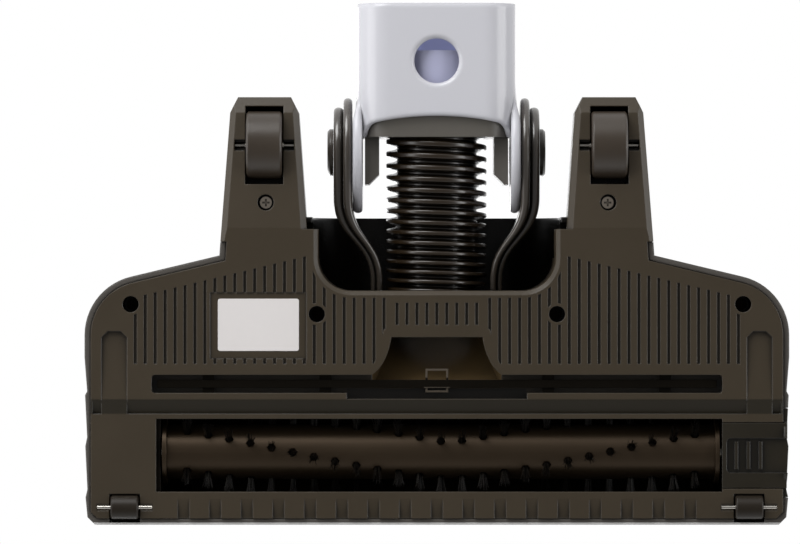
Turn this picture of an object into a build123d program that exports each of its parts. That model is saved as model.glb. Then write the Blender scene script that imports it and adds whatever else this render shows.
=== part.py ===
"""Motor-driven floor brush head with a swivelling, tilting neck, in millimetres.

The head stands on its wheels: +Z is up, the brush is at the front (-Y), the neck at the rear (+Y).
The origin is on the floor, below the middle of the whole head.
"""
import os

from build123d import *

# Overall outline of the head, seen from below
HEAD_WIDTH = 269.4
FRONT_Y = -100.0
REAR_EDGE_Y = 17.7
SHOULDER_OUTER_Y = -9.4
SHOULDER_INNER_X = 82.9
SHOULDER_INNER_Y = 3.0
SHOULDER_RADIUS = 23.0
FRONT_CORNER_CHAMFER = 4.0

# Shallow waves in both side walls, as (Y, depth)
SIDE_WAVES = (
    (-36.0, 0.0), (-49.0, 1.0), (-50.5, 0.2), (-66.5, 1.0),
    (-70.0, 0.3), (-86.5, 1.1), (-89.5, 0.4), (-97.0, 1.1),
)

# Heights of the housing
SOLE_Z = 4.0
PLATE_THICKNESS = 2.5
SHELL_EDGE_Z = 5.5
BODY_TOP_Z = 44.5
NOSE_TOP_Z = 26.0
NOSE_RUN = 16.0
NOSE_RADIUS = 13.0
BODY_TAIL_TOP_Z = 33.0
BODY_TAIL_RUN = 14.0
SIDE_TOP_RADIUS = 15.0
SHELL_WALL = 2.2
PLATE_FIT = 0.2

# Raised arch over the swivel
ARCH_HALF_WIDTH = 50.0
ARCH_TOP_Z = 68.0
ARCH_CORNER_RADIUS = 24.0
ARCH_START_Y = -64.0
ARCH_CREST_Y = -30.0
ARCH_CREST_RADIUS = 20.0

# Rear legs
LEG_X = 66.1
LEG_END_Y = 63.7
LEG_END_HALF_WIDTH = 10.15
LEG_TIP_Y = 57.7
LEG_TIP_HALF_WIDTH = 13.15
LEG_ROOT_Y = 13.5
LEG_ROOT_HALF_WIDTH = 16.3
LEG_TOP_Z = 31.0
LEG_TOP_RADIUS = 8.0
LEG_SPLIT_Z = 15.0
LEG_START_Y = 8.0
LEG_RISE = 6.6
LEG_EDGE_CHAMFER = 2.2
LEG_END_BEVEL = 3.0

# Rear wheels and their axles
WHEEL_RADIUS = 13.0
WHEEL_WIDTH = 13.6
WHEEL_EDGE_BEVEL = 0.7
WHEEL_Y = 45.2
WHEEL_SIDE_GAP = 0.5
WHEEL_WELL_FRONT_GAP = 2.0
WHEEL_WELL_WALL = 1.8
REAR_AXLE_RADIUS = 1.1
REAR_AXLE_LENGTH = 22.6
REAR_SLOT_HALF_WIDTH = 2.1
AXLE_SLOT_GAP = 0.1
AXLE_BOSS_RUN = 4.0

# Front rollers and their axles
ROLLER_RADIUS = 4.5
ROLLER_WIDTH = 10.5
ROLLER_SIDE_MARGIN = 15.4
ROLLER_Y = -93.3
ROLLER_EDGE_BEVEL = 0.5
FRONT_AXLE_RADIUS = 0.7
FRONT_SLOT_HALF_WIDTH = 1.4
FRONT_AXLE_LENGTH = 21.0
ROLLER_GAP = 0.6
ROLLER_FRONT_WALL = 0.9
ROLLER_BOSS_TOP_Z = 12.5
AXLE_RUN_FIT = 0.05

# Brush roll
BRUSH_Y = -72.5
BRUSH_Z = 17.5
CORE_RADIUS = 10.5
CORE_LEFT_MARGIN = 31.2
CORE_RIGHT_MARGIN = 28.1
FLANGE_RADIUS = 12.5
FLANGE_WIDTH = 1.6
BRUSH_SHAFT_RADIUS = 2.5
TUFT_ROWS = 4
TUFT_PITCH = 8.1
TUFT_TURN = 9.5
TUFT_RADIUS = 1.5
TUFT_SIDES = 6
TUFT_TIP_RADIUS = 1.9
TUFT_TIP_REACH = 16.9
TUFT_SEAT_DEPTH = 3.0
TUFT_FIT = 0.08
TUFT_END_MARGIN = 4.0
CHEVRON_X = -5.0
CHEVRON_START_ANGLE = 200.0
HOOD_RADIUS = 19.0
HOOD_WALL = 1.6
HOOD_SEAT_GAP = 0.1

# Brush window, and the removable end cap at -X
WINDOW_LEFT_MARGIN = 27.4
WINDOW_RIGHT_MARGIN = 25.7
WINDOW_FRONT_Y = -87.4
WINDOW_REAR_Y = -59.5
CAP_FRONT_Y = -86.2
CAP_REAR_Y = -60.8
CAP_RADIUS = 17.2
CAP_GAP = 0.3
CAP_WALL = 2.1
PAD_HALF_WIDTH = 6.6
PAD_DEPTH = 1.2
PAD_CORNER_RADIUS = 1.6
PAD_START_MARGIN = 24.0
PAD_RIB_COUNT = 3
PAD_RIB_PITCH = 4.6
PAD_RIB_FIRST_MARGIN = 20.3
PAD_RIB_WIDTH = 1.3
CAP_BOSS_RADIUS = 8.0
CAP_BOSS_START_MARGIN = 25.1

# Bearings of the brush
BEARING_RADIUS = 6.5
BEARING_WIDTH = 4.0
BEARING_FIT = 0.05
BEARING_WALL = 1.6
BUSH_RADIUS = 5.0
BUSH_LENGTH = 8.0
BUSH_FIT = 0.05
SHAFT_REACH_RIGHT = 8.0

# Drive: motor behind the brush on the +X side
MOTOR_Y = -29.5
MOTOR_Z = 24.3
MOTOR_RADIUS = 15.5
MOTOR_SIDE_MARGIN = 30.7
MOTOR_RIGHT_X = 52.0
MOTOR_NOSE_RADIUS = 6.0
MOTOR_NOSE_LENGTH = 2.5
MOTOR_EDGE_BEVEL = 1.6
CUSHION_WALL = 2.0
CUSHION_WIDTH = 6.0
CUSHION_INSET = 2.0
CUSHION_FIT = 0.05
MOTOR_SHAFT_RADIUS = 2.0
MOTOR_SHAFT_SEAT = 6.0
SHAFT_FIT = 0.05
PULLEY_SIDE_MARGIN = 21.7
PULLEY_WIDTH = 7.0
PULLEY_RIM = 1.0
PULLEY_RIM_WIDTH = 0.8
MOTOR_PULLEY_RADIUS = 5.0
BRUSH_PULLEY_RADIUS = 9.0
BELT_THICKNESS = 1.5
BELT_GAP = 0.3

# Suction slot with its strip, and the inlet mouth
SLOT_END_MARGIN = 25.7
SLOT_CORNER_RADIUS = 1.2
SLOT_FRONT_Y = -49.6
SLOT_REAR_Y = -42.7
TROUGH_TOP_Z = 10.5
TROUGH_WALL = 1.4
SLOT_NOTCH_HALF_LENGTH = 34.5
SLOT_NOTCH_FRONT_Y = -51.9
SLOT_NOTCH_WALL = 0.9
MOUTH_REAR_Y = -28.3
MOUTH_FRONT_HALF_WIDTH = 24.8
MOUTH_REAR_HALF_WIDTH = 17.4
MOUTH_LEAN = 1.0
MOUTH_FLARE = 3.4
MOUTH_FLARE_RISE = 2.2
STRIP_SHORTER = 2.0
STRIP_WIDTH = 3.0
STRIP_HEIGHT = 3.2
STRIP_TAB_WIDTH = 4.6
STRIP_TAB_X = (42.6, 87.3)
STRIP_TAB_HEIGHT = 2.3
STRIP_CLIP_WIDTH = 8.7
STRIP_CLIP_WALL = 0.8
STRIP_CLIP_REAR_Y = -40.4
STRIP_CLIP_HEIGHT = 2.0
STRIP_CLIP_LIFT = 0.8
STRIP_END_GAP = 0.15

# Bevelled band between slot and window
BAND_FRONT_Y = -57.6
BAND_REAR_Y = -52.4
BAND_DEPTH = 1.5
BAND_END_MARGIN = 3.2

# Surface of the sole
GROOVE_PITCH = 3.8
GROOVE_WIDTH = 1.1
GROOVE_DEPTH = 0.8
GROOVE_FIRST_X = 20.2
GROOVE_LAST_MARGIN = 17.7
GROOVE_FRONT_Y = -38.5
GROOVE_EDGE_MARGIN = 8.3
SHORT_GROOVE_REAR_Y = -15.2
SHORT_GROOVE_FRONT_Y = -23.6
RECESS_INNER_X = 49.8
RECESS_OUTER_X = 86.7
RECESS_FRONT_Y = -36.5
RECESS_REAR_Y = -11.2
RECESS_DEPTH = 0.6
SIDE_PAD_INNER_MARGIN = 16.3
SIDE_PAD_OUTER_MARGIN = 6.5
SIDE_PAD_CORNER = 2.4
SIDE_PAD_FRONT_Y = -57.6
SIDE_PAD_REAR_Y = -26.0
SIDE_PAD_DEPTH = 1.4
LIP_GAP_PITCH = 12.1
LIP_GAP_WIDTH = 4.5
LIP_GAP_START_Y = -90.0
LIP_GAP_DEPTH = 1.8

# Pocket for the yoke
POCKET_HALF_WIDTH = 45.5
POCKET_FRONT_Y = -10.6
POCKET_RADIUS = 12.6
POCKET_WALL = 2.0
POCKET_SIDE_TOP_Z = 30.0
POCKET_BEVEL = 1.6
PLATE_REAR_Y = 13.0

# Screws of the sole plate
CORNER_SCREW_MARGIN = 17.7
CORNER_SCREW_Y = -15.7
INNER_SCREW_PLACE = (45.9, -19.5)
LEG_SCREW_PLACE = (65.5, 23.2)
SCREW_HOLE_RADIUS = 3.1
SCREW_BOSS_RADIUS = 4.6
SCREW_BOSS_TOP_Z = 22.0
SCREW_SEAT_THICKNESS = 2.4
SCREW_HEAD_RADIUS = 2.3
SCREW_HEAD_HEIGHT = 1.8
SCREW_CROSS_LENGTH = 2.8
SCREW_CROSS_WIDTH = 0.7
SCREW_CROSS_DEPTH = 0.9
SCREW_SHANK_RADIUS = 1.3
SCREW_SHANK_LENGTH = 10.0
SCREW_FIT = 0.1
COLUMN_RADIUS = 3.6

# Swivel of the yoke in the housing, about an axis along Y
SWIVEL_Z = 38.0
COLLAR_RADIUS = 23.5
COLLAR_BORE = 20.2
COLLAR_REAR_Y = -7.5
COLLAR_FLANGE = 2.5
COLLAR_GAP_HALF_WIDTH = 16.5
COLLAR_FLANGE_WIDTH = 2.4
SWIVEL_GAP = 0.3
SWIVEL_RING_WIDTH = 2.8
SWIVEL_RING_RADIUS = 27.2

# Suction duct from the mouth to the swivel
DUCT_WALL = 2.0
SPIGOT_BORE = 12.4
SPIGOT_WALL = 1.5
SPIGOT_REACH = 6.0

# Yoke arms and pivot
PIVOT_Y = 42.9
ARM_INNER_X = 32.6
ARM_LAYER = 3.4
ARM_OUTER_LAYER = 3.8
ARM_RADIUS = 21.2
ARM_OUTER_RADIUS = 17.6
ARM_STRAIGHT_Y = 19.0
ARM_ROOT_X = 20.8
ARM_ROOT_LAYER = 2.3
ARM_ROOT_Y = -10.0
ARM_ROOT_HALF_HEIGHT = 8.5
ARM_OUTER_ROOT_HALF_HEIGHT = 6.5
PIN_RADIUS = 4.0
PIN_FIT = 0.06
PIN_CAP_RADIUS = 9.2
PIN_CAP_WIDTH = 2.4
PIN_CAP_BEVEL = 0.9

# Corrugated hose and its cuffs
HOSE_RADIUS = 19.5
HOSE_ROOT_RADIUS = 15.6
HOSE_BORE = 14.3
HOSE_RIBS = 14
HOSE_FLANK_SHARE = 0.3
HOSE_REAR_Y = 48.6
CUFF_WALL_GAP = 0.1
LOWER_CUFF_LENGTH = 5.0
UPPER_CUFF_LENGTH = 6.8

# Neck
NECK_WIDTH = 60.8
NECK_DEPTH = 46.0
NECK_CORNER_RADIUS = 12.0
NECK_END_Y = 100.0
NECK_EDGE_Y = 53.0
NECK_EDGE_ARCH = 3.6
NECK_EDGE_RADIUS = 4.5
NECK_WALL = 2.6
SNAP_HOLE_RADIUS = 8.6
SNAP_RIM = 1.3
SNAP_RIM_DEPTH = 1.0
SNAP_HOLE_Y = 77.8
CHEEK_RADIUS = 23.4
CHEEK_OUTER_X = 32.3
CHEEK_INNER_X = 28.6
CHEEK_REACH = 21.0
CHEEK_HALF_HEIGHT = 16.0
LINER_FIT = 0.15
LINER_WALL = 2.0
LINER_PLATE = 2.4
LINER_SKIRT_LENGTH = 17.0
EAR_INNER_X = 22.2
EAR_FRONT_Y = 30.3
EAR_HALF_HEIGHT = 13.0
EAR_CHAMFER = 4.0
SLEEVE_BORE = 16.6
SLEEVE_WALL = 2.0
SLEEVE_END_Y = 82.0
SLEEVE_TUBE_WALL = 1.4
CONTACT_WIDTH = 20.0
CONTACT_LENGTH = 9.0
CONTACT_HEIGHT = 3.0
CONTACT_PIN_RADIUS = 0.9
CONTACT_PIN_LENGTH = 5.0
CONTACT_PIN_SPACING = 10.0

# Circuit board on the -X side
BOARD_SIDE_MARGIN = 56.7
BOARD_Y = -25.0
BOARD_LENGTH = 36.0
BOARD_WIDTH = 22.0
BOARD_THICKNESS = 1.6
BOARD_POST_HEIGHT = 5.0
BOARD_POST_RADIUS = 2.5
BOARD_POST_SPACING = 26.0

# Worked out from the sizes above
SIDE_X = HEAD_WIDTH / 2
ROLLER_X = SIDE_X - ROLLER_SIDE_MARGIN
BOARD_X = BOARD_SIDE_MARGIN - SIDE_X
CORE_LEFT_X = SIDE_X - CORE_LEFT_MARGIN
CORE_RIGHT_X = CORE_RIGHT_MARGIN - SIDE_X
WINDOW_LEFT_X = SIDE_X - WINDOW_LEFT_MARGIN
WINDOW_RIGHT_X = WINDOW_RIGHT_MARGIN - SIDE_X
PAD_START_X = PAD_START_MARGIN - SIDE_X
PAD_RIB_FIRST_X = PAD_RIB_FIRST_MARGIN - SIDE_X
CAP_BOSS_START_X = CAP_BOSS_START_MARGIN - SIDE_X
MOTOR_LEFT_X = SIDE_X - MOTOR_SIDE_MARGIN
PULLEY_INNER_X = SIDE_X - PULLEY_SIDE_MARGIN
SLOT_HALF_LENGTH = SIDE_X - SLOT_END_MARGIN
STRIP_HALF_LENGTH = SLOT_HALF_LENGTH - STRIP_SHORTER
GROOVE_LAST_X = SIDE_X - GROOVE_LAST_MARGIN
SIDE_PAD_INNER_X = SIDE_X - SIDE_PAD_INNER_MARGIN
SIDE_PAD_OUTER_X = SIDE_X - SIDE_PAD_OUTER_MARGIN
SCREW_PLACES = ((SIDE_X - CORNER_SCREW_MARGIN, CORNER_SCREW_Y), INNER_SCREW_PLACE, LEG_SCREW_PLACE)
LIP_GAPS_A_SIDE = int((ROLLER_X - FRONT_AXLE_LENGTH / 2 - LIP_GAP_WIDTH) / LIP_GAP_PITCH)
PLATE_TOP_Z = SOLE_Z + PLATE_THICKNESS
PLATE_INSET = SHELL_WALL + PLATE_FIT
HIGH_Z = 2 * ARCH_TOP_Z
PULLEY_OUTER_X = PULLEY_INNER_X + PULLEY_WIDTH
POCKET_FACE_Y = POCKET_FRONT_Y - POCKET_WALL
RING_FRONT_Y = POCKET_FACE_Y - SWIVEL_RING_WIDTH
COLLAR_FRONT_Y = RING_FRONT_Y - SWIVEL_GAP - COLLAR_FLANGE_WIDTH
DUCT_REAR_Y = COLLAR_FRONT_Y - SWIVEL_GAP
DUCT_FRONT_Y = SLOT_FRONT_Y + DUCT_WALL
HOSE_FRONT_Y = POCKET_FRONT_Y
LINER_FRONT_Y = HOSE_REAR_Y
NECK_BOTTOM_Z = SWIVEL_Z - NECK_DEPTH / 2
SIDES = (("left", 1), ("right", -1))


def block(x0, x1, y0, y1, z0, z1):
    """A box between two corners."""
    return Pos((x0 + x1) / 2, (y0 + y1) / 2, (z0 + z1) / 2) * Box(x1 - x0, y1 - y0, z1 - z0)


def rod_x(radius, x0, x1, y, z):
    """A cylinder along X."""
    return Pos((x0 + x1) / 2, y, z) * Rot(0, 90, 0) * Cylinder(radius, x1 - x0)


def rod_y(radius, y0, y1, x, z):
    """A cylinder along Y."""
    return Pos(x, (y0 + y1) / 2, z) * Rot(90, 0, 0) * Cylinder(radius, y1 - y0)


def rod_z(radius, x, y, z0, z1):
    """A cylinder along Z."""
    return Pos(x, y, (z0 + z1) / 2) * Cylinder(radius, z1 - z0)


def polygon(points):
    """A face from its corner points."""
    return make_face(Polyline(*points, close=True))


def rounded(face, places):
    """The face with the corner nearest each given place rounded by the given radius."""
    for place, radius in places:
        corner = face.vertices().sort_by_distance(Vector(*place))[0]
        face = fillet(corner, radius)
    return face


def prism_x(face, x0, x1):
    """A profile drawn in (Y, Z), carried along X."""
    return extrude(Plane.YZ.offset(x0) * face, amount=x1 - x0)


def prism_y(face, y0, y1):
    """A profile drawn in (X, Z), carried along Y."""
    return extrude(Plane.XZ.offset(-y1) * face, amount=y1 - y0)


def prism_z(face, z0, z1):
    """A profile drawn in (X, Y), carried along Z."""
    return extrude(Pos(0, 0, z0) * face, amount=z1 - z0)


def inset(face, amount):
    """The face drawn in by an amount, or the face itself."""
    return offset(face, amount=-amount) if amount else face


def both_sides(shape):
    """The shape with its mirror image across the middle plane."""
    return shape + mirror(shape, about=Plane.YZ)


def body_plan(rear_y):
    """Outline of the head without its legs, seen from above."""
    slope = (SHOULDER_INNER_Y - SHOULDER_OUTER_Y) / (SIDE_X - SHOULDER_INNER_X)
    half = [
        (SIDE_X - FRONT_CORNER_CHAMFER, FRONT_Y),
        (SIDE_X, FRONT_Y + FRONT_CORNER_CHAMFER),
        (SIDE_X, SHOULDER_OUTER_Y),
        (LEG_X, SHOULDER_OUTER_Y + slope * (SIDE_X - LEG_X)),
        (LEG_X, rear_y),
    ]
    face = polygon(half + [(-x, y) for x, y in reversed(half)])
    shoulders = [((side * SIDE_X, SHOULDER_OUTER_Y, 0), SHOULDER_RADIUS) for side in (1, -1)]
    return rounded(face, shoulders)


def leg_plan():
    """Outline of the +X leg, seen from above."""
    draft = (LEG_ROOT_HALF_WIDTH - LEG_TIP_HALF_WIDTH) / (LEG_TIP_Y - LEG_ROOT_Y)
    start_half_width = LEG_ROOT_HALF_WIDTH + draft * (LEG_ROOT_Y - SHOULDER_OUTER_Y)
    half = [
        (start_half_width, SHOULDER_OUTER_Y),
        (LEG_TIP_HALF_WIDTH, LEG_TIP_Y),
        (LEG_END_HALF_WIDTH, LEG_END_Y),
    ]
    points = [(LEG_X + w, y) for w, y in half] + [(LEG_X - w, y) for w, y in reversed(half)]
    return polygon(points)


def body_side():
    """Side view of the head: a round nose over the brush and a flat top that drops towards the legs."""
    drop_y = SHOULDER_INNER_Y - BODY_TAIL_RUN
    face = polygon([
        (FRONT_Y, -HIGH_Z),
        (FRONT_Y, NOSE_TOP_Z),
        (FRONT_Y + NOSE_RUN, BODY_TOP_Z),
        (drop_y, BODY_TOP_Z),
        (REAR_EDGE_Y, BODY_TAIL_TOP_Z),
        (REAR_EDGE_Y, -HIGH_Z),
    ])
    corners = [
        ((FRONT_Y, NOSE_TOP_Z, 0), NOSE_RADIUS),
        ((FRONT_Y + NOSE_RUN, BODY_TOP_Z, 0), NOSE_RADIUS),
        ((drop_y, BODY_TOP_Z, 0), NOSE_RADIUS),
    ]
    return rounded(face, corners)


def round_topped(x_middle, half_width, top_z, radius):
    """Front view of a wall with two rounded top corners, open far below."""
    left, right = x_middle - half_width, x_middle + half_width
    face = polygon([(left, -HIGH_Z), (right, -HIGH_Z), (right, top_z), (left, top_z)])
    return rounded(face, [((left, top_z, 0), radius), ((right, top_z, 0), radius)])


def head_volume(wall):
    """The head without legs and arch, drawn in by a wall."""
    plan = prism_z(inset(body_plan(REAR_EDGE_Y), wall), -HIGH_Z, HIGH_Z)
    side = prism_x(inset(body_side(), wall), -HEAD_WIDTH, HEAD_WIDTH)
    front = round_topped(0, SIDE_X, BODY_TOP_Z, SIDE_TOP_RADIUS)
    return plan & side & prism_y(inset(front, wall), -HEAD_WIDTH, HEAD_WIDTH)


def leg_volume(wall):
    """Both legs, drawn in by a wall."""
    plan = prism_z(inset(leg_plan(), wall), -HIGH_Z, HIGH_Z)
    tops = round_topped(LEG_X, LEG_ROOT_HALF_WIDTH * 2, LEG_TOP_Z, LEG_TOP_RADIUS)
    end = polygon([
        (FRONT_Y, -HIGH_Z),
        (LEG_END_Y, -HIGH_Z),
        (LEG_END_Y, LEG_TOP_Z),
        (FRONT_Y, LEG_TOP_Z),
    ])
    end = rounded(end, [((LEG_END_Y, LEG_TOP_Z, 0), LEG_TOP_RADIUS)])
    tops = prism_y(inset(tops, wall), -HEAD_WIDTH, HEAD_WIDTH)
    return both_sides(plan & tops & prism_x(inset(end, wall), 0, HEAD_WIDTH))


def arch_volume(wall):
    """The arch over the swivel, drawn in by a wall, open to the rear where it is drawn in."""
    front = round_topped(0, ARCH_HALF_WIDTH, ARCH_TOP_Z, ARCH_CORNER_RADIUS)
    side = polygon([
        (ARCH_START_Y, -HIGH_Z),
        (ARCH_START_Y, BODY_TOP_Z - SHELL_WALL),
        (ARCH_CREST_Y, ARCH_TOP_Z),
        (HEAD_WIDTH, ARCH_TOP_Z),
        (HEAD_WIDTH, -HIGH_Z),
    ])
    side = rounded(side, [((ARCH_CREST_Y, ARCH_TOP_Z, 0), ARCH_CREST_RADIUS)])
    rear_y = HEAD_WIDTH if wall else REAR_EDGE_Y
    arch = prism_y(inset(front, wall), -HEAD_WIDTH, rear_y)
    return arch & prism_x(inset(side, wall), -HEAD_WIDTH, HEAD_WIDTH)


def leg_ramp_z(y):
    """Height of the underside of a leg, which rises towards its end."""
    return SOLE_Z + LEG_RISE * max(0, y - LEG_ROOT_Y) / (LEG_TIP_Y - LEG_ROOT_Y)


def screw_places():
    """Centres of all screws, on both sides."""
    return [(side * x, y) for x, y in SCREW_PLACES for _, side in SIDES]


def cap_opening(gap, x0, x1):
    """A round-topped opening round the brush axis in the -X side wall, drawn in by a gap."""
    radius = CAP_RADIUS - gap
    lower = block(x0, x1, BRUSH_Y - radius, BRUSH_Y + radius, SHELL_EDGE_Z, BRUSH_Z)
    return lower + rod_x(radius, x0, x1, BRUSH_Y, BRUSH_Z)


def side_waves():
    """Room to cut away outside both wavy side walls."""
    points = [(SIDE_X - depth, y) for y, depth in SIDE_WAVES]
    first_y, _ = SIDE_WAVES[0]
    last_x, _ = points[-1]
    points += [(last_x, 2 * FRONT_Y), (HEAD_WIDTH, 2 * FRONT_Y), (HEAD_WIDTH, first_y)]
    return both_sides(prism_z(polygon(points), -HIGH_Z, HIGH_Z))


def roller_well(front_y):
    """Room for the +X front roller, from a given front."""
    half = ROLLER_WIDTH / 2 + ROLLER_GAP
    reach = ROLLER_RADIUS + ROLLER_GAP
    return block(ROLLER_X - half, ROLLER_X + half, front_y, ROLLER_Y + reach, 0, ROLLER_RADIUS + reach)


def top_shell():
    """Upper housing: a wall round head, legs and arch, with a column over each screw."""
    outer = head_volume(0) - side_waves() + leg_volume(0) + arch_volume(0)
    shell = outer - head_volume(SHELL_WALL) - leg_volume(SHELL_WALL) - arch_volume(SHELL_WALL)
    for x, y in screw_places():
        foot_z = (LEG_SPLIT_Z if y > LEG_START_Y else SCREW_BOSS_TOP_Z) + PLATE_FIT
        column = rod_z(COLUMN_RADIUS, x, y, foot_z, HIGH_Z) & outer
        pilot_radius = SCREW_SHANK_RADIUS + SCREW_FIT
        shell += column
        shell -= rod_z(pilot_radius, x, y, 0, foot_z + SCREW_SHANK_LENGTH)
    shell -= block(-HEAD_WIDTH, HEAD_WIDTH, -HEAD_WIDTH, HEAD_WIDTH, -HIGH_Z * 2, SHELL_EDGE_Z)
    shell -= block(-HEAD_WIDTH, HEAD_WIDTH, LEG_START_Y, HEAD_WIDTH, 0, LEG_SPLIT_Z)
    shell -= both_sides(roller_well(FRONT_Y + ROLLER_FRONT_WALL))
    return shell - cap_opening(0, -SIDE_X - CAP_WALL, -SIDE_X + 2 * SHELL_WALL)


def leg_lower_volume(wall, floor):
    """Lower half of the +X leg above its ramp, drawn in by a wall and raised by a floor."""
    start = LEG_START_Y + PLATE_FIT + wall
    top = LEG_SPLIT_Z - PLATE_FIT + (HIGH_Z if wall else 0)
    tip_z = leg_ramp_z(LEG_TIP_Y) + floor
    side = polygon([
        (start, SOLE_Z + floor),
        (LEG_ROOT_Y, SOLE_Z + floor),
        (LEG_TIP_Y, tip_z),
        (LEG_END_Y, tip_z + LEG_END_BEVEL),
        (LEG_END_Y, top),
        (start, top),
    ])
    return prism_z(inset(leg_plan(), wall), 0, HIGH_Z) & prism_x(side, 0, HEAD_WIDTH)


def wheel_well():
    """Room for the +X rear wheel in its leg."""
    half_width = WHEEL_WIDTH / 2 + WHEEL_SIDE_GAP
    reach = WHEEL_RADIUS + WHEEL_WELL_FRONT_GAP
    return block(LEG_X - half_width, LEG_X + half_width, WHEEL_Y - reach, WHEEL_Y + reach, 0, HIGH_Z)


def leg_lower():
    """Lower half of the +X leg: ramped floor, walls, wheel well, axle boss and screw boss."""
    outer = leg_lower_volume(0, 0)
    ramp = outer.faces().filter_by(lambda f: f.normal_at().Z < -0.5).sort_by(SortBy.AREA)[-1]
    outer = chamfer(ramp.edges().filter_by(lambda e: abs(e.tangent_at(0.5).Y) > 0.5), LEG_EDGE_CHAMFER)
    leg = outer - leg_lower_volume(SHELL_WALL, PLATE_THICKNESS)
    half_width = WHEEL_WIDTH / 2 + WHEEL_SIDE_GAP + WHEEL_WELL_WALL
    reach = WHEEL_RADIUS + WHEEL_WELL_FRONT_GAP + WHEEL_WELL_WALL
    leg += outer & block(LEG_X - half_width, LEG_X + half_width, WHEEL_Y - reach, WHEEL_Y + reach, 0, HIGH_Z)
    half_boss = REAR_AXLE_LENGTH / 2 + WHEEL_WELL_WALL
    leg += outer & block(LEG_X - half_boss, LEG_X + half_boss,
                         WHEEL_Y - AXLE_BOSS_RUN, WHEEL_Y + AXLE_BOSS_RUN, 0, HIGH_Z)
    x, y = SCREW_PLACES[-1]
    leg += outer & rod_z(SCREW_BOSS_RADIUS, x, y, 0, HIGH_Z)
    slot_half = REAR_AXLE_LENGTH / 2 + AXLE_SLOT_GAP
    slot_radius = REAR_AXLE_RADIUS + AXLE_SLOT_GAP
    slot = block(LEG_X - slot_half, LEG_X + slot_half,
                 WHEEL_Y - slot_radius, WHEEL_Y + slot_radius, 0, WHEEL_RADIUS)
    slot += block(LEG_X - slot_half, LEG_X + slot_half, WHEEL_Y - REAR_SLOT_HALF_WIDTH,
                  WHEEL_Y + REAR_SLOT_HALF_WIDTH, 0, WHEEL_RADIUS - REAR_AXLE_RADIUS)
    slot += rod_x(slot_radius, LEG_X - slot_half, LEG_X + slot_half, WHEEL_Y, WHEEL_RADIUS)
    return leg - wheel_well() - slot


def pocket_face(grow):
    """Outline of the yoke pocket, open to the rear, grown by an amount."""
    half = POCKET_HALF_WIDTH + grow
    front = POCKET_FRONT_Y - grow
    face = polygon([(-half, front), (half, front), (half, HEAD_WIDTH), (-half, HEAD_WIDTH)])
    radius = POCKET_RADIUS + grow
    return rounded(face, [((half, front, 0), radius), ((-half, front, 0), radius)])


def pocket_wall():
    """Wall round the pocket: low at the sides, and a full bulkhead with the swivel hole in front."""
    ring = prism_z(pocket_face(POCKET_WALL) - pocket_face(0), SOLE_Z, HIGH_Z)
    ring &= arch_volume(SHELL_WALL + PLATE_FIT)
    ring &= block(-HEAD_WIDTH, HEAD_WIDTH, FRONT_Y, PLATE_REAR_Y, 0, HIGH_Z)
    open_y = POCKET_FRONT_Y + POCKET_RADIUS
    ring -= block(-HEAD_WIDTH, HEAD_WIDTH, open_y, HEAD_WIDTH, POCKET_SIDE_TOP_Z, HIGH_Z)
    hole = COLLAR_RADIUS + 3 * SWIVEL_GAP
    return ring - rod_y(hole, POCKET_FACE_Y - POCKET_WALL, 0, 0, SWIVEL_Z)


def pocket_bevel():
    """Slanted lip round the edge of the pocket."""
    return loft([
        Pos(0, 0, SOLE_Z) * pocket_face(POCKET_BEVEL),
        Pos(0, 0, SOLE_Z + POCKET_BEVEL) * pocket_face(0),
    ])


def mouth_face(grow):
    """Outline of the inlet mouth: straight behind, with concave flared sides, grown by an amount."""
    rear = MOUTH_REAR_Y + grow
    front = SLOT_REAR_Y - TROUGH_WALL
    narrow = MOUTH_REAR_HALF_WIDTH + grow
    wide = MOUTH_FRONT_HALF_WIDTH + grow
    upper = (narrow + MOUTH_LEAN, (rear + SLOT_REAR_Y) / 2)
    lower = (wide - MOUTH_FLARE, SLOT_REAR_Y + MOUTH_FLARE_RISE)
    right = Bezier((narrow, rear), upper, lower, (wide, SLOT_REAR_Y))
    left = Bezier((-wide, SLOT_REAR_Y), (-lower[0], lower[1]), (-upper[0], upper[1]), (-narrow, rear))
    front_edge = Polyline((wide, SLOT_REAR_Y), (wide, front), (-wide, front), (-wide, SLOT_REAR_Y))
    return make_face(right + front_edge + left + Line((-narrow, rear), (narrow, rear)))


def groove_field():
    """Part of the sole that carries long grooves: up to a line beside the shoulders and legs."""
    slope = (SHOULDER_INNER_Y - SHOULDER_OUTER_Y) / (SIDE_X - SHOULDER_INNER_X)

    def rear(x):
        return SHOULDER_INNER_Y - slope * (x - SHOULDER_INNER_X) - GROOVE_EDGE_MARGIN

    last = GROOVE_LAST_X
    inner = POCKET_HALF_WIDTH
    half = [(last, GROOVE_FRONT_Y), (last, rear(last)), (inner, rear(inner))]
    field = polygon(half + [(-x, y) for x, y in reversed(half)])
    field -= pocket_face(POCKET_BEVEL + GROOVE_WIDTH)
    field -= mouth_face(GROOVE_WIDTH + GROOVE_PITCH / 2)
    margin = SCREW_HOLE_RADIUS + GROOVE_WIDTH
    for x, y in screw_places():
        field -= Pos(x, y) * Circle(margin)
    recess_x = (RECESS_INNER_X + RECESS_OUTER_X) / 2
    recess_y = (RECESS_FRONT_Y + RECESS_REAR_Y) / 2
    return field - Pos(recess_x, recess_y) * Rectangle(RECESS_OUTER_X - RECESS_INNER_X,
                                                       RECESS_REAR_Y - RECESS_FRONT_Y)


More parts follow.
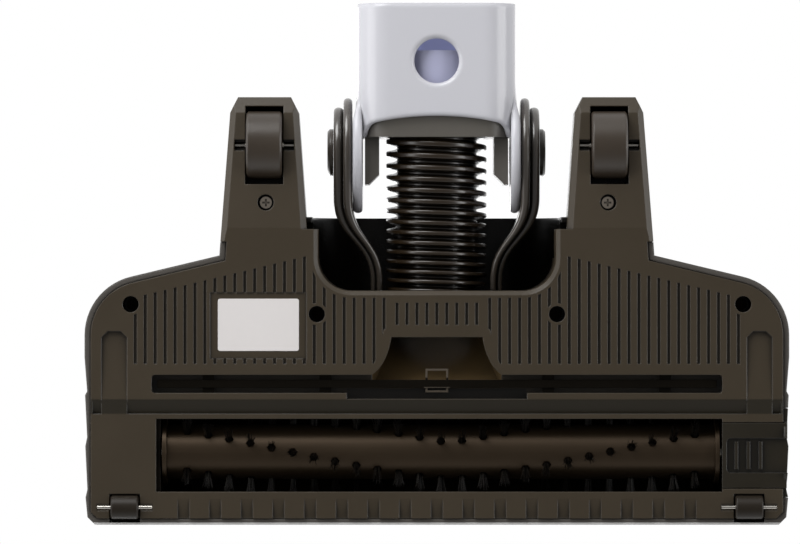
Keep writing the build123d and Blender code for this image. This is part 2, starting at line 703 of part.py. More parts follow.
def grooves():
    """Fine parallel grooves of the sole, long at both sides and short behind the mouth."""
    count = int((GROOVE_LAST_X - GROOVE_FIRST_X) / GROOVE_PITCH) + 1
    stripe = Rectangle(GROOVE_WIDTH, HEAD_WIDTH)
    stripes = [
        Pos(side * (GROOVE_FIRST_X + k * GROOVE_PITCH), 0) * stripe
        for k in range(count)
        for _, side in SIDES
    ]
    comb = Sketch() + stripes
    cut = prism_z(groove_field() & comb, SOLE_Z, SOLE_Z + GROOVE_DEPTH)
    short_count = int(GROOVE_FIRST_X / GROOVE_PITCH)
    half = GROOVE_WIDTH / 2
    for k in range(1 - short_count, short_count):
        x = k * GROOVE_PITCH
        cut += block(x - half, x + half, SHORT_GROOVE_FRONT_Y, SHORT_GROOVE_REAR_Y,
                     SOLE_Z, SOLE_Z + GROOVE_DEPTH)
    return cut


def plate_blank():
    """Sole plate before its openings: floor, rim, legs, trough over the slot and bosses."""
    outline = inset(body_plan(PLATE_REAR_Y + PLATE_INSET), PLATE_INSET)
    leg_root = inset(leg_plan(), PLATE_INSET)
    reach_y = LEG_START_Y + PLATE_INSET
    roots = prism_z(leg_root, SOLE_Z, PLATE_TOP_Z) & block(0, HEAD_WIDTH, FRONT_Y, reach_y, 0, HIGH_Z)
    plate = prism_z(outline, SOLE_Z, PLATE_TOP_Z) + both_sides(roots)
    plate += both_sides(leg_lower())
    plate += block(-SLOT_HALF_LENGTH - TROUGH_WALL, SLOT_HALF_LENGTH + TROUGH_WALL,
                   SLOT_FRONT_Y - TROUGH_WALL, SLOT_REAR_Y + TROUGH_WALL, SOLE_Z, TROUGH_TOP_Z)
    notch_half = SLOT_NOTCH_HALF_LENGTH + SLOT_NOTCH_WALL
    plate += block(-notch_half, notch_half, SLOT_NOTCH_FRONT_Y - SLOT_NOTCH_WALL, SLOT_REAR_Y,
                   SOLE_Z, TROUGH_TOP_Z)
    boss_half = FRONT_AXLE_LENGTH / 2 + AXLE_SLOT_GAP + ROLLER_GAP
    boss_reach = ROLLER_RADIUS + 2 * ROLLER_GAP
    boss = block(ROLLER_X - boss_half, ROLLER_X + boss_half, FRONT_Y, ROLLER_Y + boss_reach,
                 SOLE_Z, ROLLER_BOSS_TOP_Z)
    plate += both_sides(boss & prism_z(outline, SOLE_Z, ROLLER_BOSS_TOP_Z))
    for x, y in screw_places()[:-2]:
        plate += rod_z(SCREW_BOSS_RADIUS, x, y, SOLE_Z, SCREW_BOSS_TOP_Z)
    for post in (-1, 1):
        plate += rod_z(BOARD_POST_RADIUS, BOARD_X + post * BOARD_POST_SPACING / 2, BOARD_Y,
                       SOLE_Z, PLATE_TOP_Z + BOARD_POST_HEIGHT)
    return plate


def roller_cuts():
    """Wells and axle slots of both front rollers, open to the front."""
    cut = roller_well(FRONT_Y)
    slot_half = FRONT_AXLE_LENGTH / 2 + AXLE_SLOT_GAP
    slot_radius = FRONT_AXLE_RADIUS + AXLE_SLOT_GAP
    cut += block(ROLLER_X - slot_half, ROLLER_X + slot_half, ROLLER_Y - slot_radius,
                 ROLLER_Y + slot_radius, 0, ROLLER_RADIUS)
    cut += block(ROLLER_X - slot_half, ROLLER_X + slot_half, ROLLER_Y - FRONT_SLOT_HALF_WIDTH,
                 ROLLER_Y + FRONT_SLOT_HALF_WIDTH, 0, ROLLER_RADIUS - FRONT_AXLE_RADIUS / 2)
    cut += rod_x(slot_radius, ROLLER_X - slot_half, ROLLER_X + slot_half, ROLLER_Y, ROLLER_RADIUS)
    return both_sides(cut)


def side_channel():
    """Shallow channel beside the slot, deepest behind, with slanted rear corners."""
    corner = SIDE_PAD_CORNER
    plan = polygon([
        (SIDE_PAD_INNER_X, SIDE_PAD_FRONT_Y),
        (SIDE_PAD_OUTER_X, SIDE_PAD_FRONT_Y),
        (SIDE_PAD_OUTER_X, SIDE_PAD_REAR_Y - corner),
        (SIDE_PAD_OUTER_X - corner, SIDE_PAD_REAR_Y),
        (SIDE_PAD_INNER_X + corner, SIDE_PAD_REAR_Y),
        (SIDE_PAD_INNER_X, SIDE_PAD_REAR_Y - corner),
    ])
    side = polygon([
        (SIDE_PAD_FRONT_Y, SOLE_Z),
        (SIDE_PAD_REAR_Y, SOLE_Z),
        (SIDE_PAD_REAR_Y, SOLE_Z + SIDE_PAD_DEPTH),
    ])
    return prism_z(plan, 0, HIGH_Z) & prism_x(side, 0, HEAD_WIDTH)


def sole_relief():
    """Shallow forms of the sole: grooves, label recess, side pads, bevelled band and front lip gaps."""
    relief = grooves()
    relief += block(RECESS_INNER_X, RECESS_OUTER_X, RECESS_FRONT_Y, RECESS_REAR_Y, 0, SOLE_Z + RECESS_DEPTH)
    relief += both_sides(side_channel())
    band = polygon([(BAND_REAR_Y, SOLE_Z), (BAND_FRONT_Y, SOLE_Z + BAND_DEPTH), (BAND_FRONT_Y, SOLE_Z)])
    relief += prism_x(band, -SIDE_PAD_INNER_X, SIDE_PAD_INNER_X)
    relief += both_sides(prism_x(band, SIDE_PAD_OUTER_X, SIDE_X - BAND_END_MARGIN))
    gap = polygon([
        (LIP_GAP_START_Y, SOLE_Z),
        (FRONT_Y, SOLE_Z + LIP_GAP_DEPTH),
        (FRONT_Y, 0),
        (LIP_GAP_START_Y, 0),
    ])
    for k in range(-LIP_GAPS_A_SIDE, LIP_GAPS_A_SIDE + 1):
        x = k * LIP_GAP_PITCH
        relief += prism_x(gap, x - LIP_GAP_WIDTH / 2, x + LIP_GAP_WIDTH / 2)
    return relief


def sole_plate():
    """Lower plate with its legs, one moulding."""
    plate = plate_blank()
    plate -= prism_z(pocket_face(0), 0, LEG_SPLIT_Z) & block(
        -LEG_X, LEG_X, POCKET_FRONT_Y - POCKET_WALL, LEG_START_Y + LEG_RISE + PLATE_INSET, 0, HIGH_Z)
    plate += pocket_wall()
    plate -= pocket_bevel() & block(-LEG_X, LEG_X, FRONT_Y, PLATE_REAR_Y + PLATE_FIT, 0, HIGH_Z)
    plate -= block(WINDOW_RIGHT_X, WINDOW_LEFT_X, WINDOW_FRONT_Y, WINDOW_REAR_Y, 0, HIGH_Z)
    plate -= block(-SIDE_X, WINDOW_RIGHT_X + CAP_GAP, CAP_FRONT_Y, CAP_REAR_Y, 0, HIGH_Z)
    trough_z = TROUGH_TOP_Z - TROUGH_WALL
    slot = RectangleRounded(2 * SLOT_HALF_LENGTH, SLOT_REAR_Y - SLOT_FRONT_Y, SLOT_CORNER_RADIUS)
    plate -= prism_z(Pos(0, (SLOT_FRONT_Y + SLOT_REAR_Y) / 2) * slot, 0, trough_z)
    half_notch = SLOT_NOTCH_HALF_LENGTH
    plate -= block(-half_notch, half_notch, SLOT_NOTCH_FRONT_Y, SLOT_REAR_Y, 0, trough_z)
    mouth = prism_z(mouth_face(0), 0, TROUGH_TOP_Z)
    plate -= mouth & block(-HEAD_WIDTH, HEAD_WIDTH, SLOT_REAR_Y, 0, 0, TROUGH_TOP_Z)
    half_duct = MOUTH_FRONT_HALF_WIDTH
    plate -= block(-half_duct, half_duct, DUCT_FRONT_Y, MOUTH_REAR_Y, PLATE_TOP_Z, TROUGH_TOP_Z)
    for x, y in screw_places():
        top_z = (LEG_SPLIT_Z - PLATE_FIT) if y > LEG_START_Y else SCREW_BOSS_TOP_Z
        plate -= rod_z(SCREW_HOLE_RADIUS, x, y, 0, top_z - SCREW_SEAT_THICKNESS)
        plate -= rod_z(SCREW_SHANK_RADIUS + SCREW_FIT, x, y, 0, HIGH_Z)
    return plate - roller_cuts() - sole_relief()


def wiper_strip():
    """Rubber strip in the slot, with side tabs that grip the slot edges and a clip in the middle."""
    middle_y = (SLOT_FRONT_Y + SLOT_REAR_Y) / 2
    top_z = TROUGH_TOP_Z - TROUGH_WALL - STRIP_END_GAP
    low_y, high_y = middle_y - STRIP_WIDTH / 2, middle_y + STRIP_WIDTH / 2
    strip = block(-STRIP_HALF_LENGTH, STRIP_HALF_LENGTH, low_y, high_y, top_z - STRIP_HEIGHT, top_z)
    half = STRIP_TAB_WIDTH / 2
    tab_front = SLOT_FRONT_Y + STRIP_END_GAP
    tab_rear = SLOT_REAR_Y - STRIP_END_GAP
    for x in STRIP_TAB_X:
        strip += both_sides(block(x - half, x + half, tab_front, tab_rear, top_z - STRIP_TAB_HEIGHT, top_z))
    clip = STRIP_CLIP_WIDTH / 2
    eye = clip - STRIP_CLIP_WALL
    low_z = top_z - STRIP_HEIGHT + STRIP_CLIP_LIFT
    ring = block(-clip, clip, tab_front, STRIP_CLIP_REAR_Y, low_z, low_z + STRIP_CLIP_HEIGHT)
    ring -= block(-eye, eye, tab_front + STRIP_CLIP_WALL, STRIP_CLIP_REAR_Y - STRIP_CLIP_WALL, 0, HIGH_Z)
    return strip + ring


def brush_hood():
    """Inner wall over the brush, with the bearing cup at its drive end."""
    foot_z = PLATE_TOP_Z + HOOD_SEAT_GAP
    end_x = WINDOW_LEFT_X
    wall_x = end_x - HOOD_WALL
    room = rod_x(HOOD_RADIUS, -end_x, wall_x, BRUSH_Y, BRUSH_Z)
    hood = rod_x(HOOD_RADIUS + HOOD_WALL, -end_x, end_x, BRUSH_Y, BRUSH_Z) - room
    hood += rod_x(BEARING_RADIUS + BEARING_WALL, wall_x, wall_x + BEARING_WIDTH, BRUSH_Y, BRUSH_Z)
    hood -= rod_x(BEARING_RADIUS + BEARING_FIT, wall_x, wall_x + BEARING_WIDTH, BRUSH_Y, BRUSH_Z)
    return hood - block(-HEAD_WIDTH, HEAD_WIDTH, -HEAD_WIDTH, 0, -HIGH_Z, foot_z)


def drive_bearing():
    """Ball bearing at the drive end of the brush, as one closed ring."""
    x0 = WINDOW_LEFT_X - HOOD_WALL
    ring = rod_x(BEARING_RADIUS, x0, x0 + BEARING_WIDTH, BRUSH_Y, BRUSH_Z)
    return ring - rod_x(BRUSH_SHAFT_RADIUS + SHAFT_FIT, x0, x0 + BEARING_WIDTH, BRUSH_Y, BRUSH_Z)


def end_bearing():
    """Plain bush in the end cap."""
    x1 = CAP_BOSS_START_X
    bush = rod_x(BUSH_RADIUS, x1 - BUSH_LENGTH, x1, BRUSH_Y, BRUSH_Z)
    return bush - rod_x(BRUSH_SHAFT_RADIUS + SHAFT_FIT, x1 - BUSH_LENGTH, x1, BRUSH_Y, BRUSH_Z)


def end_cap():
    """Removable cap: side wall, sole panel with the ribbed finger pad, and the boss for the bush."""
    wall_x = -SIDE_X + CAP_WALL
    cap = (cap_opening(CAP_GAP, -SIDE_X, wall_x) & head_volume(0)) - side_waves()
    cap += block(-SIDE_X + CAP_WALL / 2, WINDOW_RIGHT_X, CAP_FRONT_Y + CAP_GAP, CAP_REAR_Y - CAP_GAP,
                 SOLE_Z, PLATE_TOP_Z)
    cap += rod_x(CAP_BOSS_RADIUS, wall_x - CAP_WALL / 2, CAP_BOSS_START_X, BRUSH_Y, BRUSH_Z)
    pad_y = (CAP_FRONT_Y + CAP_REAR_Y) / 2
    pad_length = SIDE_X + PAD_START_X + CAP_WALL
    pad = RectangleRounded(pad_length, 2 * PAD_HALF_WIDTH, PAD_CORNER_RADIUS)
    pad = Pos(PAD_START_X - pad_length / 2, pad_y) * pad
    cap -= prism_z(pad, 0, SOLE_Z + PAD_DEPTH)
    rib_half_length = PAD_HALF_WIDTH - PAD_RIB_WIDTH
    for k in range(PAD_RIB_COUNT):
        x = PAD_RIB_FIRST_X - k * PAD_RIB_PITCH
        low_x, high_x = x - PAD_RIB_WIDTH / 2, x + PAD_RIB_WIDTH / 2
        low_y, high_y = pad_y - rib_half_length, pad_y + rib_half_length
        cap += block(low_x, high_x, low_y, high_y, SOLE_Z, PLATE_TOP_Z)
    bush_end_x = CAP_BOSS_START_X - BUSH_LENGTH
    return cap - rod_x(BUSH_RADIUS + BUSH_FIT, bush_end_x, CAP_BOSS_START_X, BRUSH_Y, BRUSH_Z)


def tuft_places():
    """Place and angle of each tuft: four helical rows that turn back at the chevron's point."""
    span = CORE_LEFT_X - CORE_RIGHT_X - 2 * TUFT_END_MARGIN
    count = int(span / TUFT_PITCH) + 1
    start = (CORE_LEFT_X + CORE_RIGHT_X - (count - 1) * TUFT_PITCH) / 2
    xs = [start + k * TUFT_PITCH for k in range(count)]
    rows = [CHEVRON_START_ANGLE + row * 360 / TUFT_ROWS for row in range(TUFT_ROWS)]
    return [(x, angle + TUFT_TURN * abs(x - CHEVRON_X) / TUFT_PITCH) for x in xs for angle in rows]


def tuft_cones(grow):
    """Many-sided tufts on their places, a little wider at the tip, grown by a fit."""
    root = CORE_RADIUS - TUFT_SEAT_DEPTH
    cone = loft([
        Pos(0, 0, root) * RegularPolygon(TUFT_RADIUS + grow, TUFT_SIDES),
        Pos(0, 0, TUFT_TIP_REACH) * RegularPolygon(TUFT_TIP_RADIUS + grow, TUFT_SIDES),
    ])
    return [Pos(x, BRUSH_Y, BRUSH_Z) * Rot(angle, 0, 0) * cone for x, angle in tuft_places()]


def brush_core():
    """Turned roll with the shaft bore and a seat for each tuft."""
    core = rod_x(CORE_RADIUS, CORE_RIGHT_X, CORE_LEFT_X, BRUSH_Y, BRUSH_Z)
    core -= rod_x(BRUSH_SHAFT_RADIUS + SHAFT_FIT, CORE_RIGHT_X, CORE_LEFT_X, BRUSH_Y, BRUSH_Z)
    return core - tuft_cones(TUFT_FIT)


def bristle_tufts():
    """All tufts, each its own solid."""
    return Compound(children=tuft_cones(0))


def brush_flanges():
    """Flat ring at each end of the roll."""
    starts = (CORE_LEFT_X, CORE_RIGHT_X - FLANGE_WIDTH)
    bore = BRUSH_SHAFT_RADIUS + SHAFT_FIT
    rings = [
        rod_x(FLANGE_RADIUS, x, x + FLANGE_WIDTH, BRUSH_Y, BRUSH_Z)
        - rod_x(bore, x, x + FLANGE_WIDTH, BRUSH_Y, BRUSH_Z)
        for x in starts
    ]
    return Compound(children=rings)


def brush_shaft():
    """Steel shaft of the brush, from the bush to the pulley."""
    start_x = CAP_BOSS_START_X - BUSH_LENGTH + BUSH_FIT
    return rod_x(BRUSH_SHAFT_RADIUS, start_x, PULLEY_OUTER_X, BRUSH_Y, BRUSH_Z)


def pulley(radius, bore, y, z):
    """A belt pulley with two rims."""
    wheel = rod_x(radius, PULLEY_INNER_X, PULLEY_OUTER_X, y, z)
    for x in (PULLEY_INNER_X, PULLEY_OUTER_X - PULLEY_RIM_WIDTH):
        wheel += rod_x(radius + PULLEY_RIM, x, x + PULLEY_RIM_WIDTH, y, z)
    return wheel - rod_x(bore, PULLEY_INNER_X, PULLEY_OUTER_X, y, z) if bore else wheel


def brush_pulley():
    """Driven pulley at the end of the brush shaft."""
    return pulley(BRUSH_PULLEY_RADIUS, BRUSH_SHAFT_RADIUS + SHAFT_FIT, BRUSH_Y, BRUSH_Z)


def motor_rotor():
    """Motor shaft with its driving pulley pressed on."""
    shaft = rod_x(MOTOR_SHAFT_RADIUS, MOTOR_LEFT_X - MOTOR_SHAFT_SEAT, PULLEY_OUTER_X, MOTOR_Y, MOTOR_Z)
    return shaft + pulley(MOTOR_PULLEY_RADIUS, 0, MOTOR_Y, MOTOR_Z)


def motor():
    """Motor can with its bearing nose."""
    can = rod_x(MOTOR_RADIUS, MOTOR_RIGHT_X, MOTOR_LEFT_X, MOTOR_Y, MOTOR_Z)
    can = chamfer(can.edges().filter_by(GeomType.CIRCLE), MOTOR_EDGE_BEVEL)
    can += rod_x(MOTOR_NOSE_RADIUS, MOTOR_LEFT_X - MOTOR_EDGE_BEVEL, MOTOR_LEFT_X + MOTOR_NOSE_LENGTH,
                 MOTOR_Y, MOTOR_Z)
    return can - rod_x(MOTOR_SHAFT_RADIUS + SHAFT_FIT, MOTOR_LEFT_X - MOTOR_SHAFT_SEAT - SHAFT_FIT,
                       MOTOR_LEFT_X + MOTOR_NOSE_LENGTH, MOTOR_Y, MOTOR_Z)


def motor_cushions():
    """Rubber ring round each end of the motor, seated between plate and shell."""
    rear_x = MOTOR_RIGHT_X + CUSHION_INSET
    front_x = MOTOR_LEFT_X - CUSHION_INSET - CUSHION_WIDTH
    outer = MOTOR_RADIUS + CUSHION_WALL
    rings = [
        rod_x(outer, x, x + CUSHION_WIDTH, MOTOR_Y, MOTOR_Z)
        - rod_x(MOTOR_RADIUS + CUSHION_FIT, x, x + CUSHION_WIDTH, MOTOR_Y, MOTOR_Z)
        for x in (rear_x, front_x)
    ]
    return Compound(children=rings)


def belt_loop(extra):
    """Loop round both pulleys in side view, standing off them by the belt gap and an extra."""
    stand_off = BELT_GAP + extra
    circles = [
        Pos(BRUSH_Y, BRUSH_Z) * CenterArc((0, 0), BRUSH_PULLEY_RADIUS + stand_off, 0, 360),
        Pos(MOTOR_Y, MOTOR_Z) * CenterArc((0, 0), MOTOR_PULLEY_RADIUS + stand_off, 0, 360),
    ]
    return make_hull([edge for circle in circles for edge in circle.edges()])


def drive_belt():
    """Flat ribbed belt between the pulley rims."""
    side = PULLEY_RIM_WIDTH + BELT_GAP
    return prism_x(belt_loop(BELT_THICKNESS) - belt_loop(0), PULLEY_INNER_X + side, PULLEY_OUTER_X - side)


def duct_funnel(wall):
    """Funnel from a rectangle over slot and mouth to the round end at the swivel, grown by a wall."""
    half = MOUTH_FRONT_HALF_WIDTH + wall
    front, rear = DUCT_FRONT_Y - wall, MOUTH_REAR_Y + wall
    foot = Pos(0, (front + rear) / 2, TROUGH_TOP_Z + HOOD_SEAT_GAP) * Rectangle(2 * half, rear - front)
    end = Plane.XZ.offset(-DUCT_REAR_Y) * Pos(0, SWIVEL_Z) * Circle(SPIGOT_BORE + min(wall, SPIGOT_WALL))
    return loft([foot, end])


def suction_duct():
    """Funnel-shaped duct from slot and mouth up to a round spigot in the swivel."""
    half = MOUTH_FRONT_HALF_WIDTH
    foot_z = PLATE_TOP_Z + HOOD_SEAT_GAP
    loft_z = TROUGH_TOP_Z + HOOD_SEAT_GAP
    skirt_y = SLOT_REAR_Y + TROUGH_WALL + HOOD_SEAT_GAP
    skirt = block(-half - DUCT_WALL, half + DUCT_WALL, skirt_y, MOUTH_REAR_Y + DUCT_WALL, foot_z, loft_z)
    skirt -= block(-half, half, skirt_y, MOUTH_REAR_Y, foot_z, loft_z)
    duct = duct_funnel(DUCT_WALL) - duct_funnel(0) + skirt
    return duct + ring_y(SPIGOT_BORE + SPIGOT_WALL, SPIGOT_BORE, DUCT_REAR_Y, DUCT_REAR_Y + SPIGOT_REACH)


def ring_y(outer, inner, y0, y1):
    """A ring about the swivel axis."""
    return rod_y(outer, y0, y1, 0, SWIVEL_Z) - rod_y(inner, y0, y1, 0, SWIVEL_Z)


def swivel_ring():
    """Ring on the bulkhead that keeps the flange of the yoke collar."""
    return ring_y(SWIVEL_RING_RADIUS, COLLAR_RADIUS + SWIVEL_GAP, RING_FRONT_Y, POCKET_FACE_Y)


def plate_screws():
    """All screws of the sole plate, heads down in their holes."""
    screws = []
    for x, y in screw_places():
        top_z = (LEG_SPLIT_Z - PLATE_FIT) if y > LEG_START_Y else SCREW_BOSS_TOP_Z
        seat_z = top_z - SCREW_SEAT_THICKNESS
        shank = rod_z(SCREW_SHANK_RADIUS, x, y, seat_z, seat_z + SCREW_SHANK_LENGTH)
        face_z = seat_z - SCREW_HEAD_HEIGHT
        head = rod_z(SCREW_HEAD_RADIUS, x, y, face_z, seat_z)
        cross = Box(SCREW_CROSS_LENGTH, SCREW_CROSS_WIDTH, 2 * SCREW_CROSS_DEPTH)
        cross += Box(SCREW_CROSS_WIDTH, SCREW_CROSS_LENGTH, 2 * SCREW_CROSS_DEPTH)
        screws.append(shank + head - Pos(x, y, face_z) * cross)
    return Compound(children=screws)


def circuit_board():
    """Motor board with its relay, capacitor and terminal block."""
    z0 = PLATE_TOP_Z + BOARD_POST_HEIGHT
    z1 = z0 + BOARD_THICKNESS
    board = Pos(BOARD_X, BOARD_Y, (z0 + z1) / 2) * Box(BOARD_LENGTH, BOARD_WIDTH, BOARD_THICKNESS)
    quarter = BOARD_LENGTH / 4
    cube = BOARD_WIDTH / 3
    board += Pos(BOARD_X - quarter, BOARD_Y, z1 + cube / 2) * Box(cube, 2 * cube, cube)
    board += rod_z(cube / 2, BOARD_X, BOARD_Y, z0, z1 + 2 * cube)
    return board + Pos(BOARD_X + quarter, BOARD_Y, z1 + cube / 2) * Box(cube, 2 * cube, cube)


def rear_wheel(side):
    """Solid rear wheel with bevelled edges and the axle bore."""
    x0, x1 = side * LEG_X - WHEEL_WIDTH / 2, side * LEG_X + WHEEL_WIDTH / 2
    wheel = rod_x(WHEEL_RADIUS, x0, x1, WHEEL_Y, WHEEL_RADIUS)
    wheel = chamfer(wheel.edges().filter_by(GeomType.CIRCLE), WHEEL_EDGE_BEVEL)
    return wheel - rod_x(REAR_AXLE_RADIUS + AXLE_RUN_FIT, x0, x1, WHEEL_Y, WHEEL_RADIUS)


def rear_axle(side):
    """Steel pin through a rear wheel."""
    half = REAR_AXLE_LENGTH / 2
    return rod_x(REAR_AXLE_RADIUS, side * LEG_X - half, side * LEG_X + half, WHEEL_Y, WHEEL_RADIUS)


def front_roller(side):
    """Small front roller with its axle bore."""
    x0, x1 = side * ROLLER_X - ROLLER_WIDTH / 2, side * ROLLER_X + ROLLER_WIDTH / 2
    roller = rod_x(ROLLER_RADIUS, x0, x1, ROLLER_Y, ROLLER_RADIUS)
    roller = chamfer(roller.edges().filter_by(GeomType.CIRCLE), ROLLER_EDGE_BEVEL)
    return roller - rod_x(FRONT_AXLE_RADIUS + AXLE_RUN_FIT, x0, x1, ROLLER_Y, ROLLER_RADIUS)


def front_axle(side):
    """Steel pin through a front roller."""
    half = FRONT_AXLE_LENGTH / 2
    return rod_x(FRONT_AXLE_RADIUS, side * ROLLER_X - half, side * ROLLER_X + half, ROLLER_Y, ROLLER_RADIUS)


def arm_layer(inner, thickness, root_in, radius, root_half_height):
    """One layer of the +X arm: an S-bent plate in plan, thinner at its root, and a disc round the pivot."""
    outer = inner + thickness
    root_out = root_in + ARM_ROOT_LAYER
    bend_y = (ARM_STRAIGHT_Y + ARM_ROOT_Y) / 2
    end_y = PIVOT_Y + radius
    inner_edge = Bezier((inner, ARM_STRAIGHT_Y), (inner, bend_y), (root_in, bend_y), (root_in, ARM_ROOT_Y))
    outer_edge = Bezier((root_out, ARM_ROOT_Y), (root_out, bend_y), (outer, bend_y), (outer, ARM_STRAIGHT_Y))
    outline = inner_edge + Line((root_in, ARM_ROOT_Y), (root_out, ARM_ROOT_Y)) + outer_edge
    outline += Polyline((outer, ARM_STRAIGHT_Y), (outer, end_y), (inner, end_y), (inner, ARM_STRAIGHT_Y))
    plan = prism_z(make_face(outline), 0, HIGH_Z)
    root_disc = Pos(ARM_ROOT_Y, SWIVEL_Z) * CenterArc((0, 0), root_half_height, 0, 360)
    pivot_disc = Pos(PIVOT_Y, SWIVEL_Z) * CenterArc((0, 0), radius, 0, 360)
    side = make_hull([*root_disc.edges(), *pivot_disc.edges()])
    return plan & prism_x(side, 0, HEAD_WIDTH)


def yoke():
    """Fork with two layered arms and the swivel collar."""
    arm = arm_layer(ARM_INNER_X, ARM_LAYER, ARM_ROOT_X, ARM_RADIUS, ARM_ROOT_HALF_HEIGHT)
    outer_x, outer_root_x = ARM_INNER_X + ARM_LAYER, ARM_ROOT_X + ARM_ROOT_LAYER
    arm += arm_layer(outer_x, ARM_OUTER_LAYER, outer_root_x, ARM_OUTER_RADIUS, ARM_OUTER_ROOT_HALF_HEIGHT)
    fork = both_sides(arm) + rod_y(COLLAR_RADIUS, COLLAR_FRONT_Y, COLLAR_REAR_Y, 0, SWIVEL_Z)
    flange_rear_y = COLLAR_FRONT_Y + COLLAR_FLANGE_WIDTH
    fork += rod_y(COLLAR_RADIUS + COLLAR_FLANGE, COLLAR_FRONT_Y, flange_rear_y, 0, SWIVEL_Z)
    fork -= rod_y(COLLAR_BORE, COLLAR_FRONT_Y, PIVOT_Y, 0, SWIVEL_Z)
    fork -= block(-COLLAR_GAP_HALF_WIDTH, COLLAR_GAP_HALF_WIDTH, POCKET_FRONT_Y, PIVOT_Y, 0, SWIVEL_Z)
    return fork - rod_x(PIN_RADIUS + PIN_FIT, -HEAD_WIDTH, HEAD_WIDTH, PIVOT_Y, SWIVEL_Z)


def pivot_pin(side):
    """Headed pin through an arm of the yoke into the cheek of the neck."""
    arm_face = ARM_INNER_X + ARM_LAYER + ARM_OUTER_LAYER
    cap = rod_x(PIN_CAP_RADIUS, arm_face, arm_face + PIN_CAP_WIDTH, PIVOT_Y, SWIVEL_Z)
    cap = chamfer(cap.edges().filter_by(GeomType.CIRCLE).sort_by(Axis.X)[-1], PIN_CAP_BEVEL)
    pin = cap + rod_x(PIN_RADIUS, CHEEK_INNER_X + SWIVEL_GAP, arm_face, PIVOT_Y, SWIVEL_Z)
    return pin if side > 0 else mirror(pin, about=Plane.YZ)


def hose():
    """Corrugated hose: a ribbed wall turned about the swivel axis."""
    pitch = (HOSE_REAR_Y - HOSE_FRONT_Y) / HOSE_RIBS
    points = [(HOSE_BORE, HOSE_FRONT_Y)]
    for k in range(HOSE_RIBS):
        start = HOSE_FRONT_Y + k * pitch
        points.append((HOSE_ROOT_RADIUS, start))
        points.append((HOSE_RADIUS, start + pitch * HOSE_FLANK_SHARE))
        points.append((HOSE_RADIUS, start + pitch * (1 - HOSE_FLANK_SHARE)))
    points.append((HOSE_ROOT_RADIUS, HOSE_REAR_Y))
    points.append((HOSE_BORE, HOSE_REAR_Y))
    return Pos(0, 0, SWIVEL_Z) * revolve(polygon(points), Axis.Y)


def hose_cuff_lower():
    """Cuff at the swivel end of the hose, seated in the collar."""
    return ring_y(COLLAR_BORE - CUFF_WALL_GAP, HOSE_BORE, HOSE_FRONT_Y - LOWER_CUFF_LENGTH, HOSE_FRONT_Y)


def hose_cuff_upper():
    """Cuff at the neck end of the hose, between liner and sleeve."""
    start = LINER_FRONT_Y + LINER_PLATE
    return ring_y(SLEEVE_BORE + SLEEVE_WALL, HOSE_BORE, start, start + UPPER_CUFF_LENGTH)


def neck_section(shrink):
    """Front view of the neck: a rounded rectangle, drawn in by an amount."""
    return inset(Pos(0, SWIVEL_Z) * RectangleRounded(NECK_WIDTH, NECK_DEPTH, NECK_CORNER_RADIUS), shrink)


def neck_shell():
    """Pale outer neck with an arched lower edge, the snap hole and two pivot cheeks."""
    half = CHEEK_INNER_X
    shell = prism_y(neck_section(0), PIVOT_Y, NECK_END_Y)
    cut = ThreePointArc((-half, NECK_EDGE_Y), (0, NECK_EDGE_Y + NECK_EDGE_ARCH), (half, NECK_EDGE_Y))
    cut += Polyline((half, NECK_EDGE_Y), (half, 0), (-half, 0), (-half, NECK_EDGE_Y))
    corners = [((side * half, NECK_EDGE_Y, 0), NECK_EDGE_RADIUS) for _, side in SIDES]
    shell -= prism_z(rounded(make_face(cut), corners), 0, HIGH_Z)
    cheek = rod_x(CHEEK_RADIUS, CHEEK_INNER_X, CHEEK_OUTER_X, PIVOT_Y, SWIVEL_Z)
    cheek += block(CHEEK_INNER_X, CHEEK_OUTER_X, PIVOT_Y, PIVOT_Y + CHEEK_REACH,
                   SWIVEL_Z - CHEEK_HALF_HEIGHT, SWIVEL_Z + CHEEK_HALF_HEIGHT)
    shell += both_sides(cheek)
    shell -= prism_y(neck_section(NECK_WALL), PIVOT_Y, NECK_END_Y)
    shell -= rod_x(PIN_RADIUS + PIN_FIT, -CHEEK_OUTER_X, CHEEK_OUTER_X, PIVOT_Y, SWIVEL_Z)
    shell -= rod_z(SNAP_HOLE_RADIUS, 0, SNAP_HOLE_Y, 0, SWIVEL_Z)
    rim = Pos(0, SNAP_HOLE_Y, NECK_BOTTOM_Z + SNAP_RIM_DEPTH / 2)
    return shell - rim * Cone(SNAP_HOLE_RADIUS + SNAP_RIM, SNAP_HOLE_RADIUS, SNAP_RIM_DEPTH)


def neck_liner():
    """Dark liner in the neck: end plate, skirt, tube for the sleeve and two ears."""
    plate_end = LINER_FRONT_Y + LINER_PLATE
    skirt_end = LINER_FRONT_Y + LINER_SKIRT_LENGTH
    section = neck_section(NECK_WALL + LINER_FIT)
    liner = prism_y(section, LINER_FRONT_Y, skirt_end)
    liner -= prism_y(inset(section, LINER_WALL), plate_end, skirt_end)
    sleeve_seat = SLEEVE_BORE + SLEEVE_WALL + CUFF_WALL_GAP
    liner += rod_y(sleeve_seat + SLEEVE_TUBE_WALL, plate_end, skirt_end, 0, SWIVEL_Z)
    liner -= rod_y(sleeve_seat, plate_end, skirt_end, 0, SWIVEL_Z)
    outer = NECK_WIDTH / 2 - NECK_WALL - LINER_FIT
    ear = polygon([
        (EAR_INNER_X, plate_end),
        (EAR_INNER_X, EAR_FRONT_Y + EAR_CHAMFER),
        (EAR_INNER_X + EAR_CHAMFER, EAR_FRONT_Y),
        (outer, EAR_FRONT_Y),
        (outer, plate_end),
    ])
    liner += both_sides(prism_z(ear, SWIVEL_Z - EAR_HALF_HEIGHT, SWIVEL_Z + EAR_HALF_HEIGHT))
    return liner - rod_y(HOSE_BORE, EAR_FRONT_Y, plate_end, 0, SWIVEL_Z)


